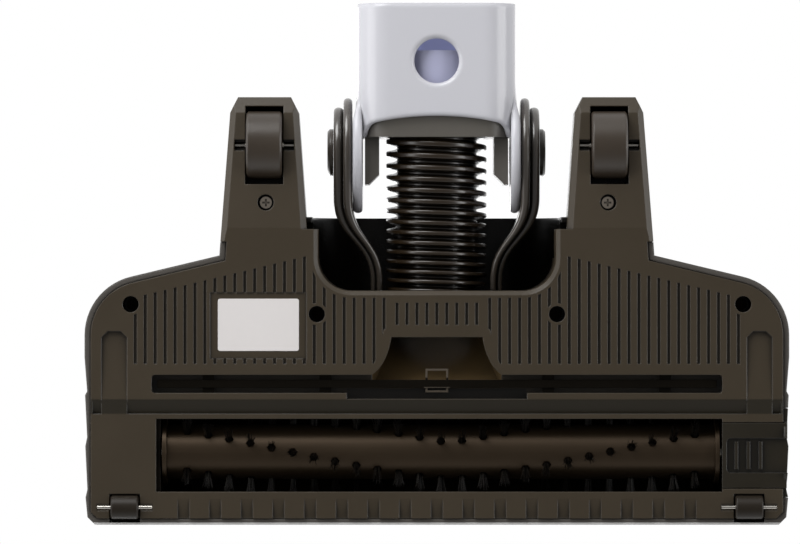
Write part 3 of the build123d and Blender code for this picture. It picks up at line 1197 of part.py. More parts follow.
def suction_sleeve():
    """Inner sleeve that takes the tube of the cleaner."""
    start = LINER_FRONT_Y + LINER_PLATE + UPPER_CUFF_LENGTH
    return ring_y(SLEEVE_BORE + SLEEVE_WALL, SLEEVE_BORE, start, SLEEVE_END_Y)


def contact_block():
    """Holder of the electric contacts under the roof of the neck."""
    top_z = SWIVEL_Z + NECK_DEPTH / 2 - NECK_WALL - LINER_FIT
    y0 = SLEEVE_END_Y + LINER_FIT
    half = CONTACT_WIDTH / 2
    holder = block(-half, half, y0, y0 + CONTACT_LENGTH, top_z - CONTACT_HEIGHT, top_z)
    return holder - contact_pins()


def contact_pins():
    """Two round contact pins that stand out of the holder."""
    z = SWIVEL_Z + NECK_DEPTH / 2 - NECK_WALL - LINER_FIT - CONTACT_HEIGHT / 2
    y0 = SLEEVE_END_Y + LINER_FIT + CONTACT_LENGTH / 2
    y1 = SLEEVE_END_Y + LINER_FIT + CONTACT_LENGTH + CONTACT_PIN_LENGTH
    pins = [rod_y(CONTACT_PIN_RADIUS, y0, y1, side * CONTACT_PIN_SPACING / 2, z) for _, side in SIDES]
    return Compound(children=pins)


SINGLE_PIECES = (
    top_shell, sole_plate, wiper_strip, brush_hood, drive_bearing, end_bearing, end_cap, brush_core,
    bristle_tufts, brush_flanges, brush_shaft, brush_pulley, motor_rotor, motor, motor_cushions, drive_belt,
    suction_duct, swivel_ring, plate_screws, circuit_board, yoke, hose, hose_cuff_lower, hose_cuff_upper,
    neck_shell, neck_liner, suction_sleeve, contact_block, contact_pins,
)
PAIRED_PIECES = (rear_wheel, rear_axle, front_roller, front_axle, pivot_pin)


def main():
    """Build every piece and write one file for each."""
    os.makedirs("parts", exist_ok=True)
    for make in SINGLE_PIECES:
        export_step(make(), f"parts/{make.__name__}.step")
    for make in PAIRED_PIECES:
        for name, side in SIDES:
            export_step(make(side), f"parts/{make.__name__}_{name}.step")


main()
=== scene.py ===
"""Looks of the floor brush head: finishes of every piece, hose, neck, yoke, bristles, label and studio."""

import bpy
import numpy as np
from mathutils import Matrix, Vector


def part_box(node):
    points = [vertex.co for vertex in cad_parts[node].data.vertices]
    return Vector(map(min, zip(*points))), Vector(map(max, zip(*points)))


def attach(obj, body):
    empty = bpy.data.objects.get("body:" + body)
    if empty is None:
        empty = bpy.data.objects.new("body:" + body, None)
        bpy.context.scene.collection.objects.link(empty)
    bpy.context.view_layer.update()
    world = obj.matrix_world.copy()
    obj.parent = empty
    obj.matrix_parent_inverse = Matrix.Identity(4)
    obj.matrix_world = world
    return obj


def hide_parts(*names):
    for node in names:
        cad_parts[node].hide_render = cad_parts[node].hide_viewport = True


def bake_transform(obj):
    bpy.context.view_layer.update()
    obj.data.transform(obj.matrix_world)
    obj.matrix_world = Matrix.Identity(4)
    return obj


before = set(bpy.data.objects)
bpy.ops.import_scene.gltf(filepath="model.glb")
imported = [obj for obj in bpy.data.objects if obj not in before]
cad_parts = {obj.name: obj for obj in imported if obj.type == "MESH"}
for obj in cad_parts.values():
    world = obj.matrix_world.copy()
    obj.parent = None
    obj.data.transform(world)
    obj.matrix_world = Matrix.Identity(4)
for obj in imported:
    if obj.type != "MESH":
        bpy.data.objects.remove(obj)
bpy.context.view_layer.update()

bl_info = {
    "name": "Floor brush head",
    "version": (1, 0, 0),
    "blender": (4, 5, 0),
    "location": "View3D > Sidebar > Brush head",
    "description": "Dresses the floor brush head and sets up its studio",
    "category": "Object",
}

MM = 0.001

# Axes of the head
ACROSS, ALONG, UP = (1, 0, 0), (0, 1, 0), (0, 0, 1)

# A place past every end of the head
FAR = 1.0

# Noise of moulded plastic, in waves to the metre
CLOUD_SCALE = 38.0
FINE_SCALE = 420.0
GRAIN_SCALE = 2500.0
TURNED_SCALE = 5200.0

# Share of the clouds in the mottling, the rest is fine
CLOUD_SHARE = 0.7

# Depth of the grain, reach of the painted shade in hollows, and rays of each soft node
GRAIN_DEPTH = 0.1 * MM
HOLLOW_SHADE_REACH = 12 * MM
SOFT_RAYS = 6

# Sockets of a Mix node that mixes colours
MIX_FACTOR, MIX_FIRST, MIX_SECOND, MIX_RESULT = 0, 6, 7, 2

# Points in a quarter of a rounded edge, and round a plate between two discs
QUARTER_POINTS = 7
PIVOT_POINTS = 48
ROOT_POINTS = 24
SIDE_POINTS = 48


def number(name, description, default, **limits):
    """A number that a user may change."""
    return bpy.props.FloatProperty(name=name, description=description, default=default, **limits)


def count(name, description, default, **limits):
    """A whole number that a user may change."""
    return bpy.props.IntProperty(name=name, description=description, default=default, **limits)


def share(name, description, default):
    """A share between nothing and all that a user may change."""
    return number(name, description, default, min=0, max=1, subtype="FACTOR")


def watts(name, description, default):
    """A power that a user may change."""
    return number(name, description, default, min=0, unit="POWER")


def degrees(name, description, default):
    """An angle that a user may change, given in degrees and kept in radians."""
    return number(name, description, np.radians(default), unit="ROTATION")


def metres(name, description, *default):
    """A length, or several, that a user may change."""
    if len(default) == 1:
        return number(name, description, default[0], unit="LENGTH")
    return bpy.props.FloatVectorProperty(
        name=name, description=description, default=default, size=len(default), unit="LENGTH")


def colour(name, description, *default):
    """A colour that a user may change."""
    return bpy.props.FloatVectorProperty(name=name, description=description, default=default, subtype="COLOR")


class HoseSizes(bpy.types.PropertyGroup):
    """Sizes of the corrugated hose."""

    turns: number("Turns", "Turns of the spiral rib", 14.5, min=2)
    crowding: share("Crowding", "How much closer the ribs lie at the swivel end", 0.16)
    root_share: share("Groove", "Radius in the groove as a share of the crest", 0.80)
    squareness: number("Squareness", "How steep the flanks of the rib are", 2.2, min=0.1)
    fullness: number("Fullness", "How much wider the crest is than the groove", 0.22, min=-0.9, max=0.9)
    phase: share("Phase", "Share of a turn by which the rib starts later", 0.2)
    wall: metres("Wall", "Wall thickness", 1.2 * MM)
    around: count("Around", "Faces round the hose", 96, min=24)
    per_turn: count("Per turn", "Faces along one turn", 24, min=6)
    inner_rows: count("Inner rows", "Rows along the bore", 60, min=2)
    bend_start: metres("Bend start", "Where the hose begins to follow the neck", 5 * MM)


class NeckSizes(bpy.types.PropertyGroup):
    """Sizes of the pale neck with its snap hole and two pivot cheeks."""

    width: metres("Width", "Outer width", 60.8 * MM)
    depth: metres("Depth", "Outer depth", 46 * MM)
    corner: metres("Corner", "Corner radius", 12 * MM)
    wall: metres("Wall", "Wall thickness", 2.6 * MM)
    end_y: metres("End", "Open end", 100 * MM)
    edge_y: metres("Edge", "Lower edge beside the cheeks", 53 * MM)
    edge_arch: metres("Arch", "Rise of the lower edge in the middle", 3.6 * MM)
    edge_radius: metres("Edge radius", "Round of the lower edge into a cheek", 4.5 * MM)
    hole_y: metres("Hole Y", "Middle of the snap hole", 77.8 * MM)
    hole_radius: metres("Hole", "Radius of the snap hole", 8.6 * MM)
    hole_rim: metres("Rim", "Width of its bevelled rim", 1.3 * MM)
    rim_depth: metres("Rim depth", "Depth of its bevelled rim", 1 * MM)
    pivot_y: metres("Pivot Y", "Place of the pivot", 42.9 * MM)
    axis_z: metres("Axis height", "Height of the pivot", 38 * MM)
    pin_radius: metres("Pin", "Radius of the pin holes", 4.06 * MM)
    cheek_radius: metres("Cheek", "Radius of a cheek round the pivot", 23.4 * MM)
    cheek_x: metres("Cheek faces", "Inner and outer face of a cheek", 28.6 * MM, 32.3 * MM)
    root_radius: metres("Root", "Half height of a cheek where it runs out", 11 * MM)
    root_y: metres("Root Y", "Where a cheek runs out in the side of the neck", 66 * MM)
    root_x: metres("Root face", "Outer face of a cheek where it runs out", 30.2 * MM)
    rounding: metres("Rounding", "How far the rim of a cheek draws in at its faces", 1.4 * MM)
    round_share: share("Round share", "Share of the thickness in one rounded edge", 0.46)


class YokeSizes(bpy.types.PropertyGroup):
    """Sizes of the fork with its two layered arms."""

    pivot_y: metres("Pivot Y", "Place of the pivot", 42.9 * MM)
    axis_z: metres("Axis height", "Height of pivot and swivel", 38 * MM)
    root_y: metres("Root Y", "Where the arms leave the collar", -11.5 * MM)
    bend_y: metres("Bend", "Where the bend of the arms begins and ends", -7 * MM, 25 * MM)
    inner_x: metres("Inner face", "Inner face of an arm at the pivot", 32.6 * MM)
    root_x: metres("Inner root", "Inner face of an arm at its root", 20.8 * MM)
    root_layer: metres("Root layer", "Thickness of a layer at the root", 2.3 * MM)
    layers: metres("Layers", "Thickness of the inner and outer layer", 3.4 * MM, 3.8 * MM)
    radii: metres("Radii", "Radius of the layers round the pivot", 21.2 * MM, 17.6 * MM)
    root_radii: metres("Root radii", "Half height of the layers at the root", 8.5 * MM, 6.5 * MM)
    rounding: metres("Rounding", "How far the rim of a layer draws in at its faces", 1.5 * MM)
    round_share: share("Round share", "Share of the thickness in one rounded edge", 0.46)
    bend_steps: count("Bend steps", "Points along the curve of an arm", 60, min=8)
    collar_radius: metres("Collar", "Radius of the swivel collar", 23.5 * MM)
    collar_flange: metres("Flange", "Radius of the collar's flange", 26 * MM)
    collar_bore: metres("Bore", "Bore of the collar", 20.2 * MM)
    collar_ends: metres("Collar ends", "Front of the flange, its back, and the end of the collar",
                        -18.1 * MM, -15.7 * MM, -10.6 * MM)
    collar_around: count("Collar around", "Faces round the collar", 96, min=24)


class BristleSizes(bpy.types.PropertyGroup):
    """Sizes of the bristles, with the same rows as the solid tufts."""

    rows: count("Rows", "Rows of tufts round the roll", 4, min=1)
    pitch: metres("Pitch", "Tuft to tuft along the roll", 8.1 * MM)
    turn: degrees("Turn", "Turn from tuft to tuft", 9.5)
    point_x: metres("Point", "Where the rows turn back", -5 * MM)
    start_angle: degrees("Start", "Angle of the first row at its point", 200)
    end_margin: metres("End margin", "Bare roll at each end", 4 * MM)
    strands: count("Strands", "Strands in one tuft", 28, min=3)
    thickness: metres("Thickness", "Thickness of a strand at its root", 0.34 * MM)
    taper: share("Taper", "Share of its thickness that a strand loses towards its tip", 0.5)
    reach: metres("Reach", "Axis to the tips of the longest strands", 16.9 * MM)
    trim: share("Trim", "Share of its height that the shortest strand lacks", 0.08)
    seat: metres("Seat", "How deep a strand starts in the roll", 1 * MM)
    root_radius: metres("Root", "Radius of a tuft at its root", 1.1 * MM)
    tip_radius: metres("Tip", "Radius of a tuft at its tip", 2.3 * MM)
    seed: count("Seed", "Start of the random draws", 7)


class LabelSizes(bpy.types.PropertyGroup):
    """Place and size of the blank label."""

    middle: metres("Middle", "Middle of the recess in X and Y", 68.2 * MM, -23.6 * MM)
    recess: metres("Recess", "Depth of the recess", 0.6 * MM)
    length: metres("Length", "Length of the label", 31 * MM)
    width: metres("Width", "Width of the label", 20 * MM)
    corner: metres("Corner", "Corner radius", 0.9 * MM)
    thickness: metres("Thickness", "Thickness of the label", 0.12 * MM)


class ZoneSizes(bpy.types.PropertyGroup):
    """Places where a piece changes its colour."""

    soft: metres("Soft", "Half width of a sharp change", 0.1 * MM)
    # The band on the sole is painted shade where its sloping face turns away from the light
    shaded_band_soft: metres("Band soft", "Half width of the change at the smooth band", 0.4 * MM)
    shaded_band_y: metres("Band", "Front and rear of the smooth band on the sole", -57.6 * MM, -52 * MM)
    notch_x: metres("Notch width", "Half width of the notch before the strip", 34.3 * MM)
    notch_y: metres("Notch", "Front and rear of the notch before the strip", -51.8 * MM, -48 * MM)
    # The rim zone is a painted highlight on the lower rim of the shell
    rim: metres("Rim", "Height of the highlit rim of the shell", 0.3 * MM)
    # The pale edge along the front is a painted highlight on the rounded lower edge of the shell
    front_highlight_y: metres("Edging", "Rear of the pale edge along the front", -99.2 * MM)
    front_highlight: metres("Edging height", "Height of the pale edge along the front", 1.2 * MM)
    clip_x: metres("Clip", "Half width of the strip's clip", 5 * MM)
    clip_y: metres("Clip gap", "Front and rear of the gap between the clip loops", -47.4 * MM, -43.8 * MM)
    # The screws in front of this place are painted black as shade in their deep holes
    shaded_screws_y: metres("Deep screws", "Rear of the field with the deep screws", 0.0)


class FinishColours(bpy.types.PropertyGroup):
    """Colours of the finishes."""

    sole: colour("Sole", "Satin plastic of the sole", 0.040, 0.030, 0.018)
    # Dark plastic of the end cap, and the painted shade of the sloping band on the sole
    cap_tone_and_band_shade: colour("Polished", "Smooth plastic of the cap and the band", 0.014, 0.011, 0.006)
    shell: colour("Shell", "Glossy plastic of the shell", 0.005, 0.0042, 0.0034)
    # Painted highlight on the lower rim of the shell
    rim: colour("Rim", "Highlit lower rim of the shell", 0.085, 0.078, 0.070)
    # Painted highlight along the rounded front edge of the shell
    front_highlight: colour("Edging", "Pale edge along the front", 0.62, 0.61, 0.60)
    rubber: colour("Rubber", "Rear wheels", 0.036, 0.027, 0.019)
    roller: colour("Roller", "Front rollers", 0.016, 0.012, 0.008)
    # Also the painted shade in the notch before the strip on the sole
    strip: colour("Strip", "Wiper strip, its notch, belt and cushions", 0.0036, 0.0026, 0.0014)
    clip: colour("Clip", "Loops of the strip's clip", 0.075, 0.062, 0.048)
    yoke: colour("Yoke", "Fork and its pins", 0.050, 0.041, 0.033)
    hose: colour("Hose", "Spiral hose", 0.018, 0.011, 0.005)
    roll: colour("Roll", "Turned brush roll", 0.010, 0.0068, 0.0038)
    roll_sheen: colour("Roll sheen", "Tint of the sheen on the roll", 1.0, 0.74, 0.52)
    bristle: colour("Bristle", "Bristle strands", 0.008, 0.0065, 0.005)
    neck: colour("Neck", "Pale outer neck", 0.58, 0.58, 0.62)
    sleeve: colour("Sleeve", "Inner sleeve of the neck", 0.48, 0.49, 0.67)
    shade: colour("Shade", "Block deep in the neck", 0.24, 0.26, 0.46)
    liner: colour("Liner", "Inner wall of the neck", 0.098, 0.090, 0.078)
    duct: colour("Duct", "Suction duct", 0.105, 0.070, 0.032)
    # Also the painted shade on the screws deep in the sole
    black: colour("Black", "Inner mouldings and deep screws", 0.006, 0.0045, 0.003)
    board: colour("Board", "Circuit board", 0.02, 0.12, 0.04)
    steel: colour("Steel", "Axles, shaft, bearing and motor", 0.58, 0.55, 0.50)
    screw: colour("Screw", "Screws in the legs", 0.62, 0.54, 0.45)
    brass: colour("Brass", "Contact pins", 0.7, 0.5, 0.2)
    label: colour("Label", "Blank label", 0.72, 0.69, 0.68)


class StageSettings(bpy.types.PropertyGroup):
    """Studio and camera."""

    distance: metres("Distance", "Camera to sole plane", 2.0)
    view_width: metres("View width", "Width of the picture in the sole plane", 0.3056)
    aim: metres("Aim", "Middle of the picture in X and Y", 14.1 * MM, -3.4 * MM)
    floor_size: metres("Floor", "Side of the floor", 6.0)
    floor_tone: share("Floor tone", "How pale the floor is", 0.8)
    floor_matt: share("Floor matt", "Roughness of the floor", 0.9)
    fade: metres("Fade", "Where the floor begins to fade and where it has faded", 0.25, 1.3)
    ambient: share("Ambient", "Strength of the light all round", 0.45)
    mirror_low: number("Mirror low", "Rise of the direction where the surround is dim", -0.95)
    mirror_high: number("Mirror high", "Rise of the direction where the surround is white", -0.25)
    mirror_dim: share("Mirror dim", "How bright the surround is from below", 0.2)
    key_power: watts("Key", "Power of the key lamp", 15.0)
    key_size: metres("Key size", "Side of the key lamp", 0.9)
    key_place: metres("Key place", "Place of the key lamp", 0.6, 1.15, -0.6)
    fill_power: watts("Fill", "Power of the fill lamp", 4.5)
    fill_size: metres("Fill size", "Side of the fill lamp", 1.2)
    fill_place: metres("Fill place", "Place of the fill lamp", 0.75, 0.1, -0.75)
    top_power: watts("Top", "Power of the lamp above", 16.0)
    top_size: metres("Top size", "Side of the lamp above", 1.2)
    top_place: metres("Top place", "Place of the lamp above", 0.4, -0.5, 1.3)
    left_power: watts("Left", "Power of the lamp on the left", 4.0)
    right_power: watts("Right", "Power of the lamp on the right", 6.8)
    side_size: metres("Side size", "Side of the lamps beside the head", 0.8)
    side_place: metres("Side place", "Place of the lamp on the left, mirrored for the right", 1.1, 0.15, -0.4)


def placed(name, data):
    """A new object at the origin, linked to the scene."""
    obj = bpy.data.objects.new(name, data)
    bpy.context.scene.collection.objects.link(obj)
    return obj


def piece(name, material, points, faces, smooth=True):
    """A mesh object with one material, from whole arrays of points and faces."""
    mesh = bpy.data.meshes.new(name)
    mesh.from_pydata(points.reshape(-1, 3).tolist(), [], faces)
    mesh.polygons.foreach_set("use_smooth", np.full(len(mesh.polygons), smooth))
    mesh.materials.append(material)
    mesh.update()
    return placed(name, mesh)


def grid_faces(rows, columns, close_rows=False, close_columns=False):
    """Four-sided faces of a grid of points, joined to the first row or column where it closes."""
    r = np.arange(rows if close_rows else rows - 1)
    c = np.arange(columns if close_columns else columns - 1)
    r, c = np.meshgrid(r, c, indexing="ij")
    r1 = (r + 1) % rows
    c1 = (c + 1) % columns
    quads = np.stack([r * columns + c, r * columns + c1, r1 * columns + c1, r1 * columns + c], axis=-1)
    return quads.reshape(-1, 4)


def joined(parts):
    """One list of points and faces from several."""
    starts = np.cumsum([0] + [len(points) for points, _ in parts])
    faces = np.concatenate([start + faces for start, (_, faces) in zip(starts, parts)])
    return np.concatenate([points for points, _ in parts]), faces.tolist()


def ease(t):
    """A smooth step: three times the square less twice the cube, level at both ends."""
    return t ** 2 * (3 - 2 * t)


def link_plate(length, root, radius, rounding, round_share):
    """A plate that spans a disc at its root and one at its pivot. Round its rim run the share of the way from
    the root's centre to the pivot's and the angle of the normal, with straight sides where both discs share a
    normal. Through its thickness run the places across and the reach from the centres, drawn in along a
    quarter ellipse at each face so that the rim is round. The first and last place stand twice, for the rows
    that close the faces."""
    turn = np.arccos((root - radius) / length)
    arc = np.linspace(-turn, turn, PIVOT_POINTS, endpoint=False)
    back = np.linspace(turn, 2 * np.pi - turn, ROOT_POINTS, endpoint=False)
    side = np.linspace(0, 1, SIDE_POINTS, endpoint=False)
    way = np.concatenate([np.ones_like(arc), 1 - side, np.zeros_like(back), side])
    angle = np.concatenate([arc, np.full_like(side, turn), back, np.full_like(side, -turn)])
    quarter = np.linspace(0, np.pi / 2, QUARTER_POINTS)
    draw_in = rounding * (1 - np.sin(quarter))
    step = round_share * (1 - np.cos(quarter))
    across = np.concatenate([[0], step, 1 - step[::-1], [1]])[:, None]
    reach = root + way * (radius - root) - np.concatenate([draw_in, draw_in[::-1]])[:, None]
    return way, angle, across, reach


def feed(tree, socket, value):
    """Give a socket a plain value, or link it to another socket."""
    if isinstance(value, bpy.types.NodeSocket):
        tree.links.new(value, socket)
    else:
        socket.default_value = value


def object_place(tree):
    """Object coordinates."""
    return tree.nodes.new("ShaderNodeTexCoord").outputs["Object"]


def math_node(tree, operation, first, second):
    """A Math node fed by sockets or plain numbers."""
    node = tree.nodes.new("ShaderNodeMath")
    node.operation = operation
    feed(tree, node.inputs[0], first)
    feed(tree, node.inputs[1], second)
    return node.outputs[0]


def vector_node(tree, operation, vector):
    """A Vector Math node with its first vector linked."""
    node = tree.nodes.new("ShaderNodeVectorMath")
    node.operation = operation
    tree.links.new(vector, node.inputs[0])
    return node


def noise_node(tree, vector, scale, detail):
    """A Noise texture on a vector, with its scale a number or a socket."""
    node = tree.nodes.new("ShaderNodeTexNoise")
    node.inputs["Detail"].default_value = detail
    tree.links.new(vector, node.inputs["Vector"])
    feed(tree, node.inputs["Scale"], scale)
    return node.outputs["Fac"]


def smooth_ramp(tree, value, start, end, first=0.0, last=1.0):
    """A value that goes smoothly from first to last between two places."""
    node = tree.nodes.new("ShaderNodeMapRange")
    node.interpolation_type = "SMOOTHSTEP"
    inputs = {"Value": value, "From Min": start, "From Max": end, "To Min": first, "To Max": last}
    for label, given in inputs.items():
        feed(tree, node.inputs[label], given)
    return node.outputs["Result"]


def node_group(name, inputs, outputs):
    """An empty shader node group with named sockets, its given values and its output node."""
    group = bpy.data.node_groups.new(name, "ShaderNodeTree")
    for sockets, direction in ((inputs, "INPUT"), (outputs, "OUTPUT")):
        for label, kind in sockets.items():
            group.interface.new_socket(label, in_out=direction, socket_type="NodeSocket" + kind)
    return group, group.nodes.new("NodeGroupInput").outputs, group.nodes.new("NodeGroupOutput")


def moulding_group():
    """Grain, mottling and uneven gloss of moulded plastic on Object coordinates, with painted shade in
    hollows.
    """
    group, given, out = node_group(
        "Moulding and hollow shade",
        {"Colour": "Color", "Mottling": "Float", "Roughness": "Float", "Rough spread": "Float",
         "Grain scale": "Float", "Hollow shade": "Float"},
        {"Colour": "Color", "Roughness": "Float", "Grain": "Float"},
    )
    place = object_place(group)
    cloud = math_node(group, "MULTIPLY", noise_node(group, place, CLOUD_SCALE, detail=4), CLOUD_SHARE)
    fine = math_node(group, "MULTIPLY", noise_node(group, place, FINE_SCALE, detail=2), 1 - CLOUD_SHARE)
    middle = math_node(group, "SUBTRACT", math_node(group, "ADD", cloud, fine), 0.5)
    swing = math_node(group, "MULTIPLY", middle, 2.0)
    bright = math_node(group, "ADD", 1.0, math_node(group, "MULTIPLY", swing, given["Mottling"]))
    # Painted shade: ambient occlusion darkens the colour in hollows, raised to the power given
    hollow = group.nodes.new("ShaderNodeAmbientOcclusion")
    hollow.samples = SOFT_RAYS
    hollow.only_local = True
    hollow.inputs["Distance"].default_value = HOLLOW_SHADE_REACH
    lit_share = math_node(group, "POWER", hollow.outputs["AO"], given["Hollow shade"])
    tint = vector_node(group, "SCALE", given["Colour"])
    feed(group, tint.inputs["Scale"], math_node(group, "MULTIPLY", bright, lit_share))
    feed(group, out.inputs["Colour"], tint.outputs[0])
    spread = math_node(group, "MULTIPLY", swing, given["Rough spread"])
    feed(group, out.inputs["Roughness"], math_node(group, "ADD", given["Roughness"], spread))
    feed(group, out.inputs["Grain"], noise_node(group, place, given["Grain scale"], detail=1))
    return group


def zone_group():
    """Mask of a zone between two places along an axis of the Object coordinates, with soft ends."""
    group, given, out = node_group(
        "Zone",
        {"Axis": "Vector", "Low": "Float", "High": "Float", "Soft": "Float"},
        {"Mask": "Float"},
    )
    along = vector_node(group, "DOT_PRODUCT", object_place(group))
    feed(group, along.inputs[1], given["Axis"])
    ramps = []
    for edge in ("Low", "High"):
        start = math_node(group, "SUBTRACT", given[edge], given["Soft"])
        end = math_node(group, "ADD", given[edge], given["Soft"])
        ramps.append(smooth_ramp(group, along.outputs["Value"], start, end))
    feed(group, out.inputs["Mask"], math_node(group, "SUBTRACT", *ramps))
    return group


class Finish:
    """A Principled material under construction."""

    def __init__(self, name):
        self.material = bpy.data.materials.new(name)
        self.material.use_nodes = True
        self.tree = self.material.node_tree
        self.shader = self.tree.nodes["Principled BSDF"]

    def set(self, **values):
        """Plain values on the shader's own sockets, named with underscores."""
        for name, value in values.items():
            self.shader.inputs[name.replace("_", " ")].default_value = value
        return self

    def group(self, name, build, values):
        """Outputs of a shared node group, built at its first use and placed with its own values."""
        node = self.tree.nodes.new("ShaderNodeGroup")
        node.node_tree = bpy.data.node_groups.get(name) or build()
        for label, value in values.items():
            node.inputs[label].default_value = value
        return node.outputs

    def zone(self, axis, low, high, soft):
        """Mask of a zone along an axis."""
        return self.group("Zone", zone_group, {"Axis": axis, "Low": low, "High": high, "Soft": soft})["Mask"]

    def both(self, first, second):
        """Mask where two masks overlap."""
        return math_node(self.tree, "MULTIPLY", first, second)

    def tint(self, mask, other):
        """Another colour where a mask is set."""
        mix = self.tree.nodes.new("ShaderNodeMix")
        mix.data_type = "RGBA"
        target = self.shader.inputs["Base Color"]
        feed(self.tree, mix.inputs[MIX_FACTOR], mask)
        feed(self.tree, mix.inputs[MIX_FIRST], target.links[0].from_socket)
        feed(self.tree, mix.inputs[MIX_SECOND], (*other, 1))
        feed(self.tree, target, mix.outputs[MIX_RESULT])

    def bump(self, height, strength, edge_radius):
        """Bump from a height over softly rounded edges."""
        edge = self.tree.nodes.new("ShaderNodeBevel")
        edge.samples = SOFT_RAYS
        edge.inputs["Radius"].default_value = edge_radius
        node = self.tree.nodes.new("ShaderNodeBump")
        node.inputs["Strength"].default_value = strength
        node.inputs["Distance"].default_value = GRAIN_DEPTH
        feed(self.tree, node.inputs["Height"], height)
        feed(self.tree, node.inputs["Normal"], edge.outputs["Normal"])
        feed(self.tree, self.shader.inputs["Normal"], node.outputs["Normal"])


def moulded(name, base, roughness=0.4, mottling=0.15, spread=0.06, grain_scale=GRAIN_SCALE, grain=0.12,
            edge=0.3 * MM, hollow_shade=1.0, specular=0.5):
    """Moulded plastic or rubber: mottled colour, uneven gloss, fine grain, softened edges and painted shade
    in hollows.
    """
    finish = Finish(name)
    body = finish.group("Moulding and hollow shade", moulding_group, {
        "Colour": (*base, 1), "Mottling": mottling, "Roughness": roughness, "Rough spread": spread,
        "Grain scale": grain_scale, "Hollow shade": hollow_shade})
    feed(finish.tree, finish.shader.inputs["Base Color"], body["Colour"])
    feed(finish.tree, finish.shader.inputs["Roughness"], body["Roughness"])
    finish.bump(body["Grain"], grain, edge)
    return finish.set(Specular_IOR_Level=specular)


def metal(name, base, roughness):
    """Bright metal with fine turned lines."""
    finish = moulded(name, base, roughness, mottling=0.2, spread=0.12, grain_scale=TURNED_SCALE, grain=0.2,
                     edge=0.1 * MM)
    return finish.set(Metallic=1.0)


def dress(finish, *nodes):
    """Give CAD nodes one material."""
    for name in nodes:
        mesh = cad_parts[name].data
        mesh.materials.clear()
        mesh.materials.append(finish.material)


